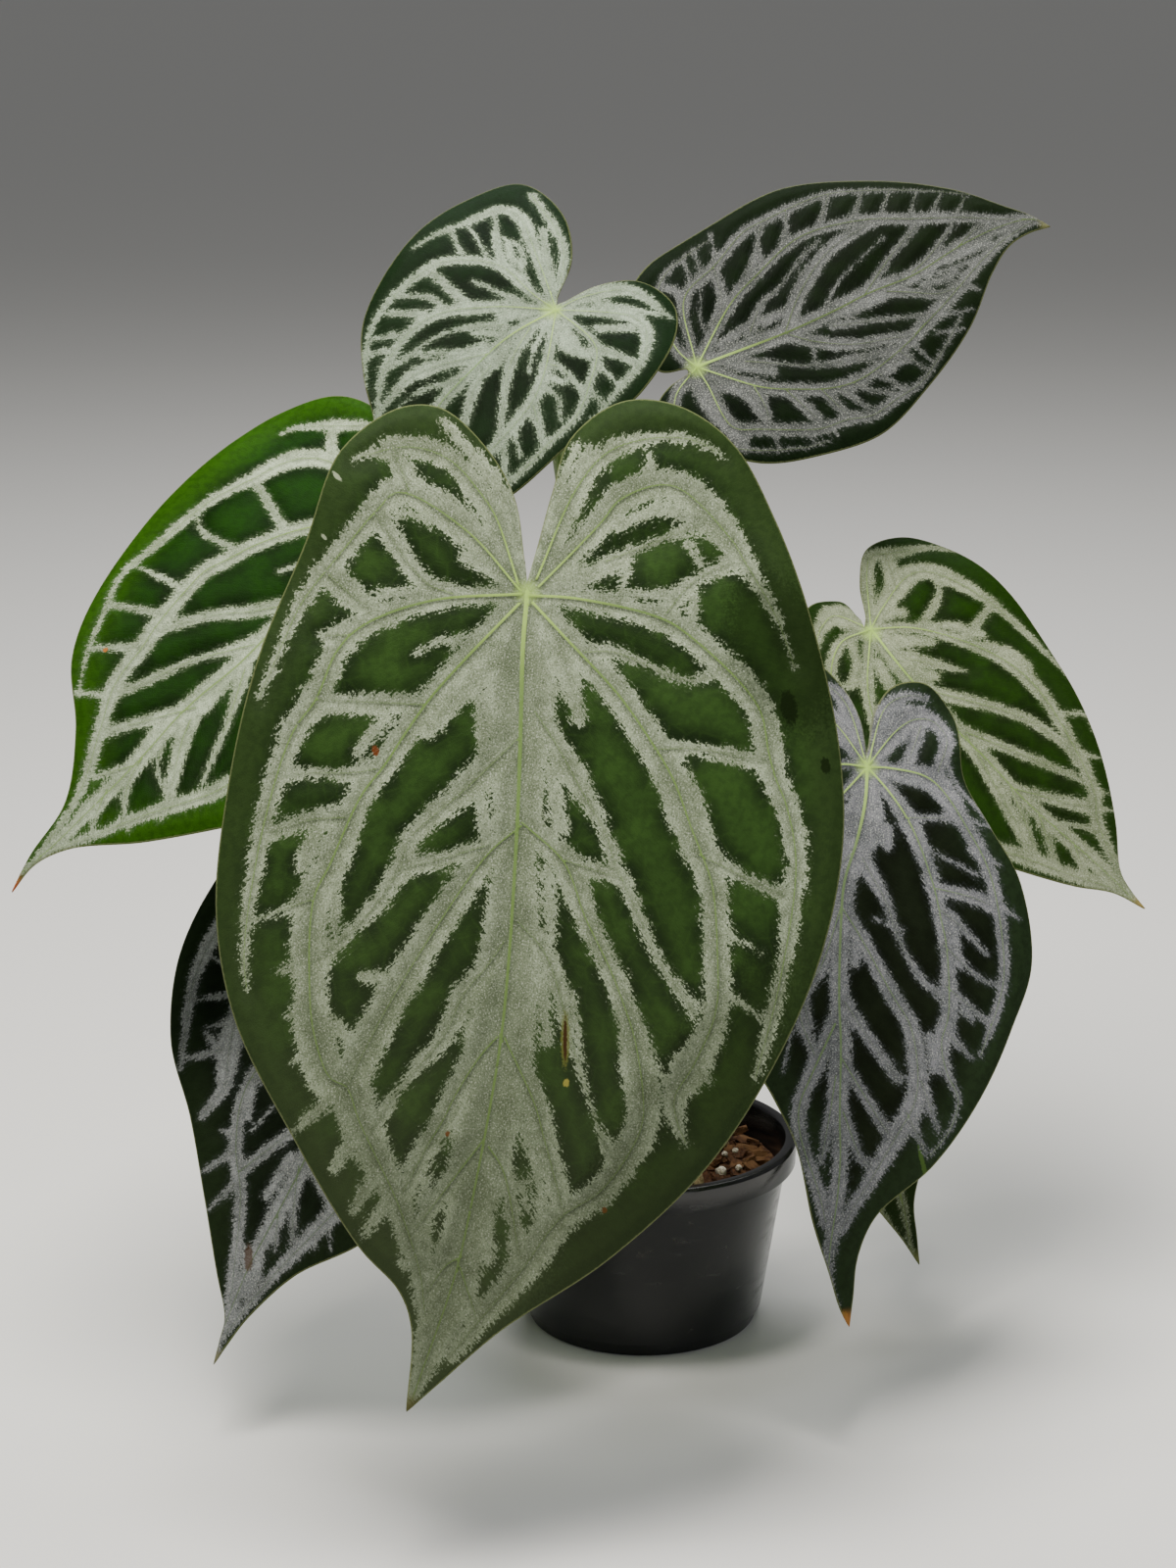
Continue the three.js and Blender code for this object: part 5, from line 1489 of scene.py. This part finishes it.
def add_stem(bark, root):
    """The stem, turned with a ridge at each old leaf scar, and its roots."""
    profile = [(STEM_RADIUS * 0.62, STEM_FOOT)]
    rise = (STEM_TOP - STEM_FOOT) / (STEM_SCARS + 1)
    for scar in range(1, STEM_SCARS + 1):
        height = STEM_FOOT + rise * scar
        radius = STEM_RADIUS * (0.66 + 0.29 * scar / STEM_SCARS)
        profile += [(radius - 0.3, height - 1.6), (radius + 0.55, height - 0.5), (radius, height)]
    profile += [(STEM_RADIUS, STEM_TOP - 2.2), (STEM_RADIUS - 0.5, STEM_TOP - 0.8),
                (STEM_RADIUS - 1.6, STEM_TOP)]
    stem = turned("stem_core", profile, 64)
    choose(stem)
    bpy.ops.object.mode_set(mode="EDIT")
    bpy.ops.mesh.select_all(action="SELECT")
    bpy.ops.transform.vertex_random(offset=0.22 * MM, seed=8)
    bpy.ops.object.mode_set(mode="OBJECT")
    bpy.ops.object.shade_smooth_by_angle(angle=math.radians(50))
    seat(stem, "stem", "stem", bark)
    for number, (turn, reach, high) in enumerate(ROOTS, 1):
        stations = [(STEM_RADIUS - 6, high), (STEM_RADIUS + 7, high + 6), (reach, high),
                    (reach + 3, MIX_LEVEL - ROOT_DEPTH)]
        controls = [(r * math.cos(turn), r * math.sin(turn), z) for r, z in stations]
        piece = tube(f"root_{number}", controls,
                     lambda run, whole: ROOT_RADIUS * (1 - ROOT_TAPER * run / whole), ROOT_CUTS)
        seat(piece, "stem", "stem", root)


SHEATH_HEIGHTS = [30, 22, 34, 26, 38, 24, 29]
SHEATH_BAND = 9.0
SHEATH_DROP = 12.0
SHEATH_FLARE = 0.16
SHEATH_SIDES = 20
SHEATH_ROWS = 14
SHEATH_THICKNESS = 0.45
# A flap curls outwards above this height, and every other one a little inwards instead.
CURL_START = 14
CURL = 0.012
INWARD_CURL = -0.35
RIPPLE = 0.35


def add_sheaths(paper):
    """Bud scales as one thin collar with pointed, slightly curled flaps, solidified to paper."""
    sides = SHEATH_SIDES * len(SHEATH_HEIGHTS)
    points = []
    for row in range(SHEATH_ROWS + 1):
        for side in range(sides):
            flap, step = divmod(side, SHEATH_SIDES)
            lobe = math.sin(math.pi * step / SHEATH_SIDES) ** 0.8
            tall = SHEATH_BAND + (SHEATH_HEIGHTS[flap] - SHEATH_BAND) * lobe
            up = tall * row / SHEATH_ROWS
            curl = CURL * max(0, up - CURL_START) ** 2 * (1 if flap % 2 else INWARD_CURL)
            ripple = RIPPLE * math.sin(side * 1.9 + up * 0.3) * row / SHEATH_ROWS
            radius = STEM_RADIUS + GAP + SHEATH_THICKNESS + SHEATH_FLARE * up + curl + ripple
            turn = side / sides * math.tau
            points.append((radius * math.cos(turn) * MM, radius * math.sin(turn) * MM,
                           (STEM_TOP - SHEATH_DROP + up) * MM))
    faces = []
    for row in range(SHEATH_ROWS):
        for side in range(sides):
            here, after = row * sides + side, row * sides + (side + 1) % sides
            faces.append((here, after, after + sides, here + sides))
    mesh = bpy.data.meshes.new("sheath_scales")
    mesh.from_pydata(points, [], faces)
    piece = bpy.data.objects.new("sheath_scales", mesh)
    bpy.context.scene.collection.objects.link(piece)
    choose(piece)
    paper_wall = piece.modifiers.new("paper", "SOLIDIFY")
    paper_wall.thickness = SHEATH_THICKNESS * MM
    paper_wall.offset = 0
    bpy.ops.object.modifier_apply(modifier=paper_wall.name)
    bpy.ops.object.shade_smooth_by_angle(angle=math.radians(60))
    seat(piece, "sheaths", "papery_sheath", paper)


# Camera, light and floor

# The photograph's camera, worked out from the real size of the plant: its place, how far it looks
# down, and its focal length in pixels of the 1600 pixel long side.
CAMERA_PLACE = (-18.6, -999.9, 454.5)
CAMERA_PITCH = 15.0
CAMERA_FOCAL = 3208.0
FRAME_LONG_SIDE = 1600.0
SENSOR = 36.0
# Each softbox: its place and size in metres, its watts and its colour.
SOFTBOXES = {
    "key_softbox": ((-0.2, -0.32, 1.45), 0.7, 33, "#fffaf2"),
    "fill_softbox": ((1.2, -1.4, 0.8), 1.2, 5, "#f2f5ff"),
    "back_softbox": ((0.1, 0.9, 1.7), 1.0, 16, "#ffffff"),
}
PLANT_MIDDLE = (0, 0, 0.2)
FLOOR_SIZE = 90
FLOOR_DROP = 0.0003
ROOM_COLOUR = "#e4e4e4"
ROOM_STRENGTH = 0.24


def add_camera():
    """The photograph's camera."""
    data = bpy.data.cameras.new("photograph")
    data.sensor_width = SENSOR
    data.lens = SENSOR * CAMERA_FOCAL / FRAME_LONG_SIDE
    data.clip_start = 0.05
    data.clip_end = 120.0
    camera = bpy.data.objects.new("photograph", data)
    camera.location = Vector(CAMERA_PLACE) * MM
    camera.rotation_euler = (math.radians(90 - CAMERA_PITCH), 0, 0)
    bpy.context.scene.collection.objects.link(camera)
    bpy.context.scene.camera = camera


def add_softbox(name, place, size, power, colour):
    """A square studio softbox that faces the middle of the plant."""
    data = bpy.data.lights.new(name, "AREA")
    data.shape = "SQUARE"
    data.size = size
    data.energy = power
    data.color = linear(colour)[:3]
    light = bpy.data.objects.new(name, data)
    light.location = place
    aim = Vector(PLANT_MIDDLE) - Vector(place)
    light.rotation_euler = aim.to_track_quat("-Z", "Y").to_euler()
    bpy.context.scene.collection.objects.link(light)


def add_studio():
    """A plain pale floor under soft even light."""
    deselect()
    bpy.ops.mesh.primitive_plane_add(size=FLOOR_SIZE, location=(0, 0, -FLOOR_DROP))
    floor = bpy.context.object
    floor.name = "floor"
    floor.data.materials.append(studio_floor())
    for name, setting in SOFTBOXES.items():
        add_softbox(name, *setting)
    world = bpy.data.worlds.new("pale studio")
    bpy.context.scene.world = world
    world.use_nodes = True
    background = world.node_tree.nodes["Background"]
    background.inputs[0].default_value = linear(ROOM_COLOUR)
    background.inputs[1].default_value = ROOM_STRENGTH


# Assembly

# The step of each blade's mesh between its veins.
GRID_STEP = {"front": 1.05}
SIDE_GRID_STEP = 0.85

add_camera()
add_studio()
under_skin = lower_face()
stalk_finish = stalk_skin()
for name in LEAVES:
    step = GRID_STEP.get(name, SIDE_GRID_STEP)
    add_blade(name, VEINS[name], step, (upper_face(name), under_skin))
    add_stalk(name, stalk_finish)
add_stem(stem_bark(), root_skin())
add_sheaths(sheath_skin())
add_pot(pot_plastic())
add_mix(bark_mix(), perlite_grit())
